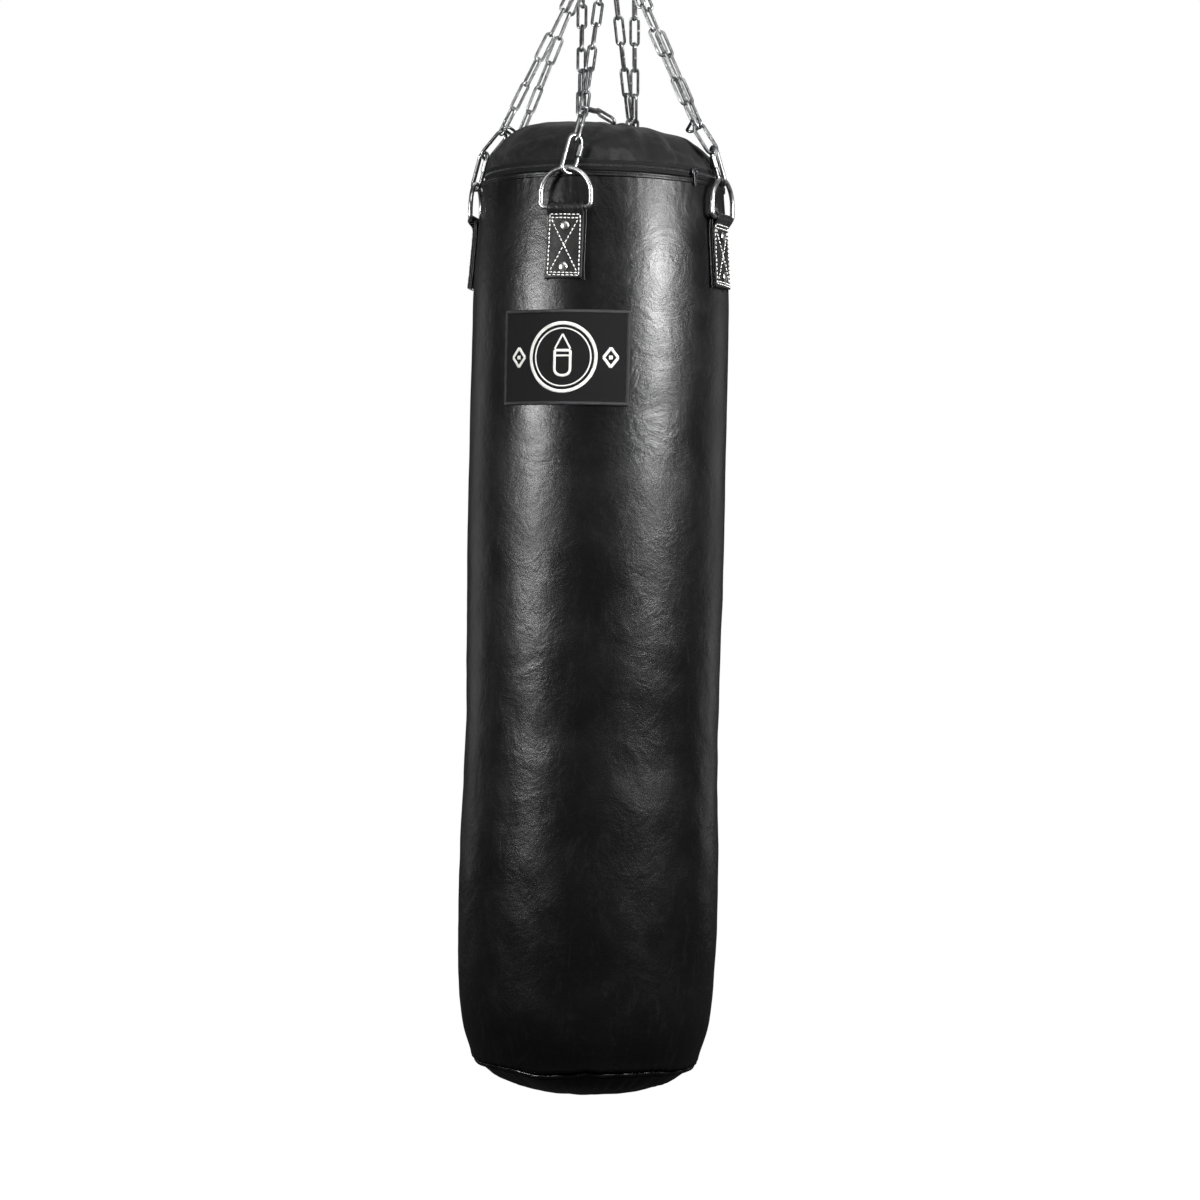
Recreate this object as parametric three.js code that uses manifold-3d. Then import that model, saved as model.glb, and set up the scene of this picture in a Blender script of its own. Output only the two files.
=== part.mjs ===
// A heavy punching bag hung on four doubled chain legs from a swivel.
// Millimetres, +Z up. The origin is the hanging point, the inside top of the swivel's upper eye.
// The front leg's tab and the label face -Y.
import * as THREE from 'three';
import { mergeVertices } from 'three/addons/utils/BufferGeometryUtils.js';
import Module from 'manifold-3d';

const wasm = await Module();
wasm.setup();

// Driving dimensions
const GAP = 0.35;                 // clearance between touching pieces
const ZIP_Z = -505;               // the zip line, where the lid meets the shell
const BAG_RADIUS = 180;           // 360 mm (14 in) bag
const BAG_LENGTH = 1275;          // from the zip line to the lowest point
const SHELL_WALL = 3;
const LINER_WALL = 20;
const LATHE_STEPS = 32;

const EYE_WIRE = 4.5;
const UPPER_EYE = 13;             // inner radius
const LOWER_EYE = 12;
const HOUSING_RADIUS = 15;
const HOUSING_TOP = -32;
const HOUSING_BOTTOM = -62;
const HOUSING_BORE = 10.8;
const SPINDLE_RADIUS = 5;
const SPINDLE_HEAD = 9.5;
const BEARING_BORE = 5.5;
const LOWER_EYE_Z = -86;

const DELTA_WIRE = 4;
const DELTA_CORNER = 13;          // wire-centre radius of each corner
const DELTA_HALF_BAR = 26;
const DELTA_PIVOT_Z = -106.6;     // centre of the top corner's arc
const BAR_Z = -160;

const HOOK_WIRE = 3;
const LINK_WIRE = 2.1;            // 4.2 mm long-link chain
const LINK_HALF_WIDTH = 5.55;     // wire centre
const LINK_PITCH = 38.5;
const LINK_OVERLAP = 0.9;         // neighbouring links bite this deep, which makes one strand one body
const LINKS_PER_STRAND = 6;

const JOINER_WIRE = 2.5;
const JOINER_HALF_WIDTH = 7.5;
const JOINER_LENGTH = 46;         // wire centre to wire centre
const QUICK_WIRE = 3;
const QUICK_HALF_WIDTH = 10;
const QUICK_LENGTH = 54;          // wire centre to wire centre
const QUICK_GATE = 15;            // gap in the long side, under the sleeve
const QUICK_GATE_RISE = 8;        // the gate sits this far above the link's middle
const SLEEVE_LENGTH = 17;
const SLEEVE_RADIUS = 5.2;        // hexagon, across corners
const QUICK_TURN = 135;           // degrees about the leg, from edge-on
const JOINER_TURN = 45;
const STRAND_LEAN = -45;          // the links' own turn settles to this within three links
const STRAND_SPREAD = 14.3;       // half the distance between a leg's strands at the top
const STRAND_MEET = 2.5;          // and where they meet in the joining link
const LINK_STEPS = 8;             // facets along a chain link's oval, and round its wire
const LINK_SIDES = 4;
const TAIL_TURN = 50;             // each spare link lies this much flatter than the one before

const RING_WIRE = 3.25;
const RING_HALF_WIDTH = 35.25;    // wire centre
const RING_HEIGHT = 53.2;         // wire centre, bar to bow
const RING_BAR = [181.9, -58];    // radius and height from the zip line
const RING_BOW = [181.4, -4.8];

const TAB_WIDTH = 50;
const TAB_TOP = -58;
const TAB_BOTTOM = -154;
const WEB = 2.5;                  // one layer of strap
const BACKING = 2;
const RIVET_HEIGHTS = [-83, -139];
const RIVET_HEAD = 6.5;
const RIVET_SHANK = 2;

const LABEL_WIDTH = 182;
const LABEL_TOP = -197;
const LABEL_HEIGHT = 127;
const LABEL_THICKNESS = 1.6;
const ZIP_PULL_AZIMUTH = 63;
const ZIP_RADIUS = 166.6;
const SLIDER_DEPTH = 4.6;

// One entry a leg: azimuth from -Y, place and side of the hook on the bar, and two points of the leg as
// [sideways, radius, height from the zip line]: the quick link's top and the joining link's top.
const LEGS = [
  { name: 'front', azimuth: 0, hookX: -19, hookSide: -1,
    quickFoot: 2.5, quickTop: [11, 171, 41], joinerTop: [13, 150, 76] },
  { name: 'right', azimuth: 81, hookX: 6.5, hookSide: -1,
    quickFoot: -4, quickTop: [-10, 169, 41], joinerTop: [-15, 144, 75] },
  { name: 'rear', azimuth: 180, hookX: 19, hookSide: 1,
    quickFoot: 0, quickTop: [0, 170, 41], joinerTop: [0, 149, 76] },
  { name: 'left', azimuth: -84, hookX: -6.5, hookSide: -1,
    quickFoot: 0, quickTop: [0, 170, 41], joinerTop: [0, 140, 72] },
];
const SLACK_LEG = 'left';
const SLACK_POINT = [-36, 129, 66];   // where the slack strand's last link starts, lying on the lid
// Spare links left over at the end of a leg's chain, lying on the lid
const TAILS = {
  front: [[22, 107, 80], [50, 125, 64]],
  right: [[15, 124, 66]],
};
const TAIL_START = 12.5;              // above the joining link's grip

const up = new THREE.Vector3(0, 0, 1);
const v3 = (x, y, z) => new THREE.Vector3(x, y, z);
const radians = THREE.MathUtils.degToRad;

// Materials
const finish = (color, roughness, metalness) => () =>
  new THREE.MeshStandardMaterial({ color, roughness, metalness });
const leather = finish(0x141416, 0.42, 0);
const suede = finish(0x24262b, 0.8, 0);
const webbing = finish(0x1b1b1d, 0.62, 0);
const zipCloth = finish(0x101012, 0.7, 0);
const labelCloth = finish(0x303236, 0.85, 0);
const foam = finish(0x8a8a86, 0.9, 0);
const filling = finish(0x9b938a, 0.95, 0);
const nickel = finish(0xc9c9c6, 0.25, 1);
const zinc = finish(0xb9bbbd, 0.38, 1);
const steel = finish(0xa8abad, 0.3, 1);

// Solids
function toSolid(geometry) {
  const bare = geometry.clone();
  bare.deleteAttribute('normal');
  bare.deleteAttribute('uv');
  const merged = mergeVertices(bare, 1e-4);
  return new wasm.Manifold(new wasm.Mesh({
    numProp: 3,
    vertProperties: new Float32Array(merged.attributes.position.array),
    triVerts: new Uint32Array(merged.index.array),
  }));
}

function fromSolid(solid) {
  const mesh = solid.getMesh();
  const geometry = new THREE.BufferGeometry();
  geometry.setAttribute('position', new THREE.BufferAttribute(mesh.vertProperties, 3));
  geometry.setIndex(new THREE.BufferAttribute(mesh.triVerts, 1));
  return geometry;
}

function join(...geometries) {
  const solids = geometries.map(toSolid);
  return fromSolid(solids.reduce((sum, solid) => sum.add(solid)));
}

function cut(geometry, tools) {
  return fromSolid(tools.map(toSolid).reduce((rest, tool) => rest.subtract(tool), toSolid(geometry)));
}

// A round bar along a curve
function tube(points, radius, steps, sides) {
  const section = new THREE.Shape(Array.from({ length: sides }, (_, i) => {
    const angle = (2 * Math.PI * i) / sides;
    return new THREE.Vector2(radius * Math.cos(angle), radius * Math.sin(angle));
  }));
  const extrudePath = new THREE.CatmullRomCurve3(points, false, 'centripetal');
  return new THREE.ExtrudeGeometry(section, { steps, bevelEnabled: false, extrudePath });
}

// Points of an arc in the plane of two unit vectors
function arcPoints(centre, along, across, radius, from, to, count) {
  return Array.from({ length: count }, (_, i) => {
    const angle = radians(from + ((to - from) * i) / (count - 1));
    return centre.clone()
      .addScaledVector(along, radius * Math.cos(angle))
      .addScaledVector(across, radius * Math.sin(angle));
  });
}

// A lathe about Z from [radius, height] pairs, listed from bottom to top along the outside
function lathe(points, steps = LATHE_STEPS) {
  const outline = points.map(([radius, height]) => new THREE.Vector2(radius, height));
  return new THREE.LatheGeometry(outline, steps).rotateX(Math.PI / 2);
}

// A closed oval of round wire: a torus pulled apart along its length. It lies in XZ, long way along Z.
function oval(wire, halfWidth, centreLength, steps, sides) {
  const endStep = Math.cos(Math.PI / steps);
  const geometry = new THREE.TorusGeometry(halfWidth / endStep, wire, sides, steps);
  geometry.rotateZ(Math.PI / steps);
  const shift = centreLength / 2 - halfWidth;
  const position = geometry.attributes.position;
  for (let i = 0; i < position.count; i += 1) {
    position.setY(i, position.getY(i) + Math.sign(position.getY(i)) * shift);
  }
  return geometry.rotateX(Math.PI / 2);
}

// Turns a piece's X, Y and Z onto three directions and moves it to a centre
function place(geometry, centre, xAxis, yAxis, zAxis) {
  const matrix = new THREE.Matrix4().makeBasis(xAxis, yAxis, zAxis).setPosition(centre);
  return geometry.applyMatrix4(matrix);
}

// The assembly
const bag = new THREE.Group();

function add(name, geometry, material) {
  const mesh = new THREE.Mesh(geometry, material());
  mesh.name = name;
  bag.add(mesh);
  return mesh;
}

// A leg's frame: out from the axis, sideways, and points given as [sideways, radius, height]
function legFrame(azimuth) {
  const angle = radians(azimuth);
  const out = v3(Math.sin(angle), -Math.cos(angle), 0);
  const side = v3(Math.cos(angle), Math.sin(angle), 0);
  const point = ([sideways, radius, height]) =>
    v3(0, 0, ZIP_Z + height).addScaledVector(side, sideways).addScaledVector(out, radius);
  return { out, side, point, angle };
}

// A link between two wire centres, its flat side turned by an angle from the leg's outward direction
function turnedAxes(from, to, out, turn) {
  const along = to.clone().sub(from).normalize();
  const outward = out.clone().addScaledVector(along, -out.dot(along)).normalize();
  const sideways = new THREE.Vector3().crossVectors(along, outward);
  const flat = outward.clone().multiplyScalar(Math.cos(radians(turn)))
    .addScaledVector(sideways, Math.sin(radians(turn)));
  return { along, flat, normal: new THREE.Vector3().crossVectors(along, flat) };
}

function placedOval(from, to, out, turn, wire, halfWidth, steps, sides) {
  const { along, flat, normal } = turnedAxes(from, to, out, turn);
  const centre = from.clone().lerp(to, 0.5);
  return place(oval(wire, halfWidth, from.distanceTo(to), steps, sides), centre, flat, normal, along);
}

function swivel() {
  const upperEye = new THREE.TorusGeometry(UPPER_EYE + EYE_WIRE, EYE_WIRE, 6, 16);
  upperEye.rotateX(Math.PI / 2).translate(0, 0, -UPPER_EYE);
  const cup = lathe([
    [HOUSING_BORE, HOUSING_BOTTOM], [HOUSING_RADIUS, HOUSING_BOTTOM], [HOUSING_RADIUS, HOUSING_TOP - 5],
    [HOUSING_RADIUS - 5, HOUSING_TOP], [0, HOUSING_TOP], [0, HOUSING_TOP - 6],
    [HOUSING_BORE, HOUSING_TOP - 6], [HOUSING_BORE, HOUSING_BOTTOM],
  ], 16);
  add('swivel_housing', join(upperEye, cup), steel);
  const lowerEye = new THREE.TorusGeometry(LOWER_EYE + EYE_WIRE, EYE_WIRE, 6, 16);
  lowerEye.rotateX(Math.PI / 2).rotateZ(Math.PI / 2).translate(0, 0, LOWER_EYE_Z);
  const shank = lathe([
    [0, -70], [SPINDLE_RADIUS, -70], [SPINDLE_RADIUS, -51],
    [SPINDLE_HEAD, -51], [SPINDLE_HEAD, -44], [0, -44],
  ], 16);
  add('swivel_spindle', join(lowerEye, shank), steel);
  const washer = [
    [BEARING_BORE, -54.4], [9.8, -54.4], [9.8, -51.4], [BEARING_BORE, -51.4], [BEARING_BORE, -54.4],
  ];
  add('swivel_thrust_washer', lathe(washer, 16), steel);
  const collar = [[5.6, -61.8], [10.4, -61.8], [10.4, -54.8], [5.6, -54.8], [5.6, -61.8]];
  add('swivel_retaining_collar', lathe(collar, 16), steel);
}

// Triangular ring with round corners, the straight bar below, welded in the middle of the bar
function deltaRing() {
  const barCorner = BAR_Z + DELTA_CORNER;
  const slope = THREE.MathUtils.radToDeg(Math.atan2(DELTA_HALF_BAR, DELTA_PIVOT_Z - barCorner));
  const x = v3(1, 0, 0);
  const corner = (cx, cz, from, to) => arcPoints(v3(cx, 0, cz), x, up, DELTA_CORNER, from, to, 6);
  const points = [
    v3(0.4, 0, BAR_Z), v3(DELTA_HALF_BAR / 2, 0, BAR_Z),
    ...corner(DELTA_HALF_BAR, barCorner, -90, slope),
    ...corner(0, DELTA_PIVOT_Z, slope, 180 - slope),
    ...corner(-DELTA_HALF_BAR, barCorner, 180 - slope, 270),
    v3(-DELTA_HALF_BAR / 2, 0, BAR_Z), v3(-0.4, 0, BAR_Z),
  ];
  const weld = tube([v3(-1.6, 0, BAR_Z), v3(1.6, 0, BAR_Z)], DELTA_WIRE * 0.97, 1, 6);
  add('delta_ring', join(tube(points, DELTA_WIRE, 30, 6), weld), steel);
}

// Tub-shaped soft body: outer outline as depth below the zip line, given once for shell and liner
const SHELL_OUTLINE = [
  [158, 1226], [166.6, 1203], [173, 1182], [178.5, 1147], [181.9, 972], [176.6, 760], [BAG_RADIUS, 450],
  [BAG_RADIUS, 160], [169.6, 16],
];

function wall(inset, thickness, top, bottom) {
  const middle = SHELL_OUTLINE.slice(1, -1);
  const [lowest, highest] = [SHELL_OUTLINE[0], SHELL_OUTLINE[SHELL_OUTLINE.length - 1]];
  const outline = [[lowest[0], bottom], ...middle, [highest[0], top]];
  const outer = outline.map(([radius, depth]) => [radius - inset, ZIP_Z - depth]);
  const inner = outer.map(([radius, height]) => [radius - thickness, height]).reverse();
  return lathe([...outer, ...inner, outer[0]]);
}

function bagBody(shellHoles) {
  add('leather_shell', cut(wall(0, SHELL_WALL, 16, 1226), shellHoles), leather);
  add('foam_liner', wall(SHELL_WALL + GAP + 0.3, LINER_WALL, 18, 1218), foam);
  const core = SHELL_WALL + LINER_WALL + 1.4;
  add('textile_filling', lathe([
    [0, ZIP_Z - 1268], [90, ZIP_Z - 1257], [118, ZIP_Z - 1244], [SHELL_OUTLINE[0][0] - core, ZIP_Z - 1215],
    ...SHELL_OUTLINE.slice(1, -1).map(([radius, depth]) => [radius - core, ZIP_Z - depth]),
    [169.6 - core, ZIP_Z - 18], [169.6 - core, ZIP_Z], [0, ZIP_Z],
  ]), filling);
  add('bottom_panel', lathe([
    [0, ZIP_Z - BAG_LENGTH], [60, ZIP_Z - 1271], [92, ZIP_Z - 1265], [120, ZIP_Z - 1254],
    [139, ZIP_Z - 1241.5], [146, ZIP_Z - 1236], [146, ZIP_Z - 1232.5], [136, ZIP_Z - 1238.5], [118, ZIP_Z - 1251],
    [90, ZIP_Z - 1262], [0, ZIP_Z - 1272],
  ]), leather);
  const piping = new THREE.TorusGeometry(150.5, 4, 6, LATHE_STEPS).translate(0, 0, ZIP_Z - 1230.6);
  add('bottom_piping', piping, leather);
  add('top_rim_binding', lathe([
    [163.5, ZIP_Z - 15.6], [171, ZIP_Z - 15.6], [171, ZIP_Z - 7], [163.5, ZIP_Z - 7], [163.5, ZIP_Z - 15.6],
  ]), leather);
  add('zip_tape', lathe([
    [163.5, ZIP_Z - 6.6], [ZIP_RADIUS, ZIP_Z - 6.6], [ZIP_RADIUS, ZIP_Z + 7.6], [163.5, ZIP_Z + 7.6],
    [163.5, ZIP_Z - 6.6],
  ]), zipCloth);
  add('lid_cover', lathe([
    [0, ZIP_Z + 0.6], [163, ZIP_Z + 0.6], [163, ZIP_Z + 8], [164.2, ZIP_Z + 13], [158, ZIP_Z + 26],
    [145, ZIP_Z + 42], [122, ZIP_Z + 62], [82, ZIP_Z + 76], [40, ZIP_Z + 83], [0, ZIP_Z + 85],
  ]), suede);
}

function zip() {
  const { out, side, angle } = legFrame(ZIP_PULL_AZIMUTH);
  const at = (radius, sideways, height) =>
    v3(0, 0, ZIP_Z + height).addScaledVector(out, radius).addScaledVector(side, sideways);
  const body = new THREE.BoxGeometry(12, SLIDER_DEPTH, 9).rotateZ(angle);
  body.translate(...at(ZIP_RADIUS + GAP + SLIDER_DEPTH / 2, 0, 0.5).toArray());
  const bridge = tube(arcPoints(at(171.4, 0, 0.5), up, out, 2.9, 0, 180, 7), 0.75, 6, 6);
  add('zip_slider', join(body, bridge), nickel);
  const outline = new THREE.Shape();
  outline.moveTo(-3.2, 0.5);
  outline.lineTo(3.2, 0.5);
  outline.lineTo(4, -16);
  outline.absarc(0, -16, 4, 0, -Math.PI, true);
  outline.closePath();
  const hole = new THREE.Path();
  hole.absarc(0, -2.8, 1.95, 0, 2 * Math.PI, false);
  outline.holes.push(hole);
  const pull = new THREE.ExtrudeGeometry(outline, { depth: 1, bevelEnabled: false, curveSegments: 6 });
  const hinge = at(172.05, 0, 0.4);
  add('zip_pull', place(pull, hinge, side, up, out), nickel);
}

// A plate bent to the bag's radius: an annular sector, its middle at the given azimuth
function bentPlate(innerRadius, thickness, width, height, segments) {
  const half = width / 2 / innerRadius;
  const middle = -Math.PI / 2;
  const outline = new THREE.Shape();
  outline.absarc(0, 0, innerRadius + thickness, middle - half, middle + half, false);
  outline.absarc(0, 0, innerRadius, middle + half, middle - half, true);
  return new THREE.ExtrudeGeometry(outline, { depth: height, bevelEnabled: false, curveSegments: segments });
}

function label() {
  const plate = bentPlate(BAG_RADIUS + GAP, LABEL_THICKNESS, LABEL_WIDTH, LABEL_HEIGHT, 16);
  add('label_patch', plate.translate(0, 0, ZIP_Z + LABEL_TOP - LABEL_HEIGHT), labelCloth);
}

// The strap runs down behind the bar, over it and down in front; local X sideways, -Y outward, Z up
function tabStrap(tilt) {
  const barRadius = RING_WIRE + GAP;
  const back = -barRadius - WEB;
  const outline = new THREE.Shape();
  outline.moveTo(back, TAB_BOTTOM - TAB_TOP);
  outline.lineTo(back + 2 * WEB, TAB_BOTTOM - TAB_TOP);
  outline.lineTo(back + 2 * WEB, -14);
  outline.lineTo(barRadius + WEB, -3);
  outline.absarc(0, 0, barRadius + WEB, 0, Math.PI, false);
  outline.closePath();
  const hole = new THREE.Path();
  hole.absarc(0, 0, barRadius, 0, 2 * Math.PI, false);
  outline.holes.push(hole);
  const extrusion = { depth: TAB_WIDTH, bevelEnabled: false, curveSegments: 5 };
  const strap = new THREE.ExtrudeGeometry(outline, extrusion);
  strap.translate(0, 0, -TAB_WIDTH / 2);
  return place(strap, v3(0, 0, 0), v3(0, -1, 0), up, v3(-1, 0, 0)).rotateX(-tilt);
}

function rivet() {
  return lathe([
    [0, -12], [RIVET_SHANK, -12], [RIVET_SHANK, 0], [RIVET_HEAD, 0], [RIVET_HEAD, 0.8], [4.6, 2.3], [0, 3.1],
  ], 10).rotateX(Math.PI / 2);
}

function dRing() {
  const x = v3(1, 0, 0);
  const half = RING_HALF_WIDTH;
  const corner = 7;
  const points = [
    v3(0.3, 0, 0), v3(half - corner - 6, 0, 0),
    ...arcPoints(v3(half - corner, 0, corner), x, up, corner, -90, 0, 4),
    ...arcPoints(v3(0, 0, RING_HEIGHT - half), x, up, half, 0, 180, 11),
    ...arcPoints(v3(corner - half, 0, corner), x, up, corner, 180, 270, 4),
    v3(corner + 6 - half, 0, 0), v3(-0.3, 0, 0),
  ];
  return tube(points, RING_WIRE, 22, 6);
}

// Everything sewn to the shell at one leg; returns the rivet holes to cut in the shell
function tab(leg) {
  const frame = legFrame(leg.azimuth);
  const slope = Math.atan2(BAG_RADIUS - 172.6, 100);
  const turned = (geometry, radius, height) =>
    geometry.translate(0, -radius, ZIP_Z + height).rotateZ(frame.angle);
  const holes = RIVET_HEIGHTS.map((height) => {
    const shank = new THREE.CylinderGeometry(RIVET_SHANK + GAP, RIVET_SHANK + GAP, 40, 8);
    return turned(shank, BAG_RADIUS, height);
  });
  const strap = turned(tabStrap(slope), RING_BAR[0], RING_BAR[1]);
  add(`${leg.name}_tab_strap`, cut(strap, holes), webbing);
  const backing = bentPlate(BAG_RADIUS, BACKING, TAB_WIDTH + 6, TAB_TOP - TAB_BOTTOM, 6);
  backing.translate(0, BAG_RADIUS, 0).rotateX(-slope);
  add(`${leg.name}_tab_backing`, cut(turned(backing, BAG_RADIUS + 0.75, TAB_BOTTOM), holes), leather);
  RIVET_HEIGHTS.forEach((height, index) => {
    const out = RING_BAR[0] + (RING_BAR[1] - height) * Math.tan(slope) - RING_WIRE - GAP + WEB + 0.9;
    add(`${leg.name}_rivet_${index + 1}`, turned(rivet(), out, height), nickel);
  });
  const lean = Math.atan2(RING_BAR[0] - RING_BOW[0], RING_BOW[1] - RING_BAR[1]);
  add(`${leg.name}_d_ring`, turned(dRing().rotateX(-lean), RING_BAR[0], RING_BAR[1]), nickel);
  return holes;
}

// Quick link: an open oval with a screw sleeve over its gate
function quickLink(leg, foot, top, out) {
  const { along, flat, normal } = turnedAxes(foot, top, out, QUICK_TURN);
  const centre = foot.clone().lerp(top, 0.5);
  const x = v3(1, 0, 0);
  const straight = QUICK_LENGTH / 2 - QUICK_HALF_WIDTH;
  const points = [
    v3(QUICK_HALF_WIDTH, 0, QUICK_GATE_RISE + QUICK_GATE / 2),
    ...arcPoints(v3(0, 0, straight), x, up, QUICK_HALF_WIDTH, 0, 180, 8),
    ...arcPoints(v3(0, 0, -straight), x, up, QUICK_HALF_WIDTH, 180, 360, 8),
    v3(QUICK_HALF_WIDTH, 0, QUICK_GATE_RISE - QUICK_GATE / 2),
  ];
  add(`${leg.name}_quick_link`, place(tube(points, QUICK_WIRE, 20, 6), centre, flat, normal, along), zinc);
  const bore = (QUICK_WIRE + GAP) / Math.cos(Math.PI / 6);
  const half = SLEEVE_LENGTH / 2;
  const sleeve = lathe([
    [bore, -half], [SLEEVE_RADIUS, -half], [SLEEVE_RADIUS, half], [bore, half], [bore, -half],
  ], 6);
  sleeve.translate(QUICK_HALF_WIDTH, 0, QUICK_GATE_RISE);
  add(`${leg.name}_link_sleeve`, place(sleeve, centre, flat, normal, along), zinc);
}

// Links from the first wire centre to the last, each turned a quarter from its neighbour
function strand(from, to, out, count) {
  const bite = 2 * LINK_WIRE - LINK_OVERLAP;
  const length = from.distanceTo(to);
  const pitch = (length - bite) / count;
  const along = to.clone().sub(from).normalize();
  return Array.from({ length: count }, (_, i) => {
    const start = from.clone().addScaledVector(along, i * pitch);
    const end = start.clone().addScaledVector(along, pitch + bite);
    const turn = 90 * i + STRAND_LEAN * Math.min(1, i / 3);
    return placedOval(start, end, out, turn, LINK_WIRE, LINK_HALF_WIDTH, LINK_STEPS, LINK_SIDES);
  });
}

// An S-hook over the ring's bar above and through a leg's top link below
function sHook(leg, linkWire, out) {
  const barCentre = v3(leg.hookX, 0, BAR_Z);
  const down = linkWire.clone().sub(barCentre).normalize();
  const length = barCentre.distanceTo(linkWire);
  const upperRadius = DELTA_WIRE + HOOK_WIRE + 3 * GAP;
  const lowerRadius = LINK_WIRE + HOOK_WIRE + GAP;
  const across = v3(0, leg.hookSide, 0);
  across.addScaledVector(down, -across.dot(down)).normalize();
  const outward = out.clone().addScaledVector(down, -out.dot(down)).normalize();
  const upward = down.clone().negate();
  const points = [
    ...arcPoints(barCentre, across, upward, upperRadius, 190, 0, 9),
    barCentre.clone().addScaledVector(across, upperRadius * 0.6).addScaledVector(down, length * 0.3),
    barCentre.clone().lerp(linkWire, 0.6).addScaledVector(outward, -lowerRadius * 0.5),
    ...arcPoints(linkWire, outward, down, lowerRadius, 180, -5, 8),
  ];
  add(`${leg.name}_s_hook`, tube(points, HOOK_WIRE, 20, 6), zinc);
}

function legHardware(leg) {
  const { out, point } = legFrame(leg.azimuth);
  const bow = point([leg.quickFoot, ...RING_BOW]);
  const quickAim = point(leg.quickTop).sub(bow).normalize();
  const foot = bow.clone().addScaledVector(quickAim, -(RING_WIRE + QUICK_WIRE + 5 * GAP));
  const quickTop = foot.clone().addScaledVector(quickAim, QUICK_LENGTH);
  quickLink(leg, foot, quickTop, out);

  const joinerFoot = quickTop.clone().addScaledVector(quickAim, -(QUICK_WIRE + JOINER_WIRE + 6 * GAP));
  const joinerAim = point(leg.joinerTop).sub(joinerFoot).normalize();
  const joinerTop = joinerFoot.clone().addScaledVector(joinerAim, JOINER_LENGTH);
  const joiner = placedOval(joinerFoot, joinerTop, out, JOINER_TURN, JOINER_WIRE, JOINER_HALF_WIDTH, 10, 6);
  add(`${leg.name}_joining_link`, joiner, zinc);

  const { flat, normal } = turnedAxes(joinerFoot, joinerTop, out, JOINER_TURN);
  const meet = joinerTop.clone().addScaledVector(joinerAim, -(JOINER_WIRE + LINK_WIRE + 0.9));
  const bar = v3(leg.hookX, 0, BAR_Z);
  const aim = bar.clone().sub(meet).normalize();
  const bite = 2 * LINK_WIRE - LINK_OVERLAP;
  const strandTop = meet.clone().addScaledVector(aim, LINKS_PER_STRAND * LINK_PITCH + bite);
  const sideways = new THREE.Vector3().crossVectors(aim, out).normalize();
  const foldCentre = strandTop.clone().addScaledVector(aim, LINK_HALF_WIDTH - bite);
  const foldHalf = (LINK_PITCH + bite) / 2;
  const foldFrom = foldCentre.clone().addScaledVector(sideways, foldHalf);
  const foldTo = foldCentre.clone().addScaledVector(sideways, -foldHalf);
  const links = [placedOval(foldFrom, foldTo, aim, 0, LINK_WIRE, LINK_HALF_WIDTH, LINK_STEPS, LINK_SIDES)];
  for (const sign of [1, -1]) {
    const start = strandTop.clone().addScaledVector(sideways, sign * STRAND_SPREAD);
    const end = meet.clone().addScaledVector(flat, sign * STRAND_MEET);
    if (leg.name === SLACK_LEG && sign === -1) {
      const corner = point(SLACK_POINT);
      const hold = meet.clone().addScaledVector(flat, STRAND_MEET).addScaledVector(aim, TAIL_START);
      hold.addScaledVector(normal, 2);
      links.push(...strand(start, corner, out, LINKS_PER_STRAND));
      const last = hold.clone().sub(corner).normalize();
      const lastStart = corner.clone().addScaledVector(last, -bite);
      links.push(placedOval(lastStart, hold, out, 0, LINK_WIRE, LINK_HALF_WIDTH, LINK_STEPS, LINK_SIDES));
    } else {
      links.push(...strand(start, end, out, LINKS_PER_STRAND));
    }
  }
  let tailFrom = meet.clone().addScaledVector(flat, STRAND_MEET).addScaledVector(aim, TAIL_START);
  tailFrom.addScaledVector(normal, -2);
  (TAILS[leg.name] ?? []).forEach((target, index) => {
    const tailTo = point(target);
    const step = tailTo.clone().sub(tailFrom).normalize();
    const start = index ? tailFrom.clone().addScaledVector(step, -bite) : tailFrom;
    const turn = 90 - TAIL_TURN * index;
    links.push(placedOval(start, tailTo, up, turn, LINK_WIRE, LINK_HALF_WIDTH, LINK_STEPS, LINK_SIDES));
    tailFrom = tailTo;
  });
  add(`${leg.name}_leg_chain`, join(...links), zinc);
  const linkWire = foldCentre.clone().addScaledVector(aim, LINK_HALF_WIDTH);
  sHook(leg, linkWire, out);
}

swivel();
deltaRing();
const rivetHoles = LEGS.flatMap(tab);
bagBody(rivetHoles);
zip();
label();
LEGS.forEach(legHardware);

export default bag;
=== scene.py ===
"""Looks for a heavy punching bag hung on four doubled chain legs. Lengths in the tables are millimetres,
with +Z up, the origin at the hanging point and the front leg and label on -Y; meshes are made in metres."""
import random
from math import atan2, cos, degrees, exp, hypot, pi, radians, sin, tan, tau

import bmesh
import bpy
from mathutils import Matrix, Vector, noise


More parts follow.
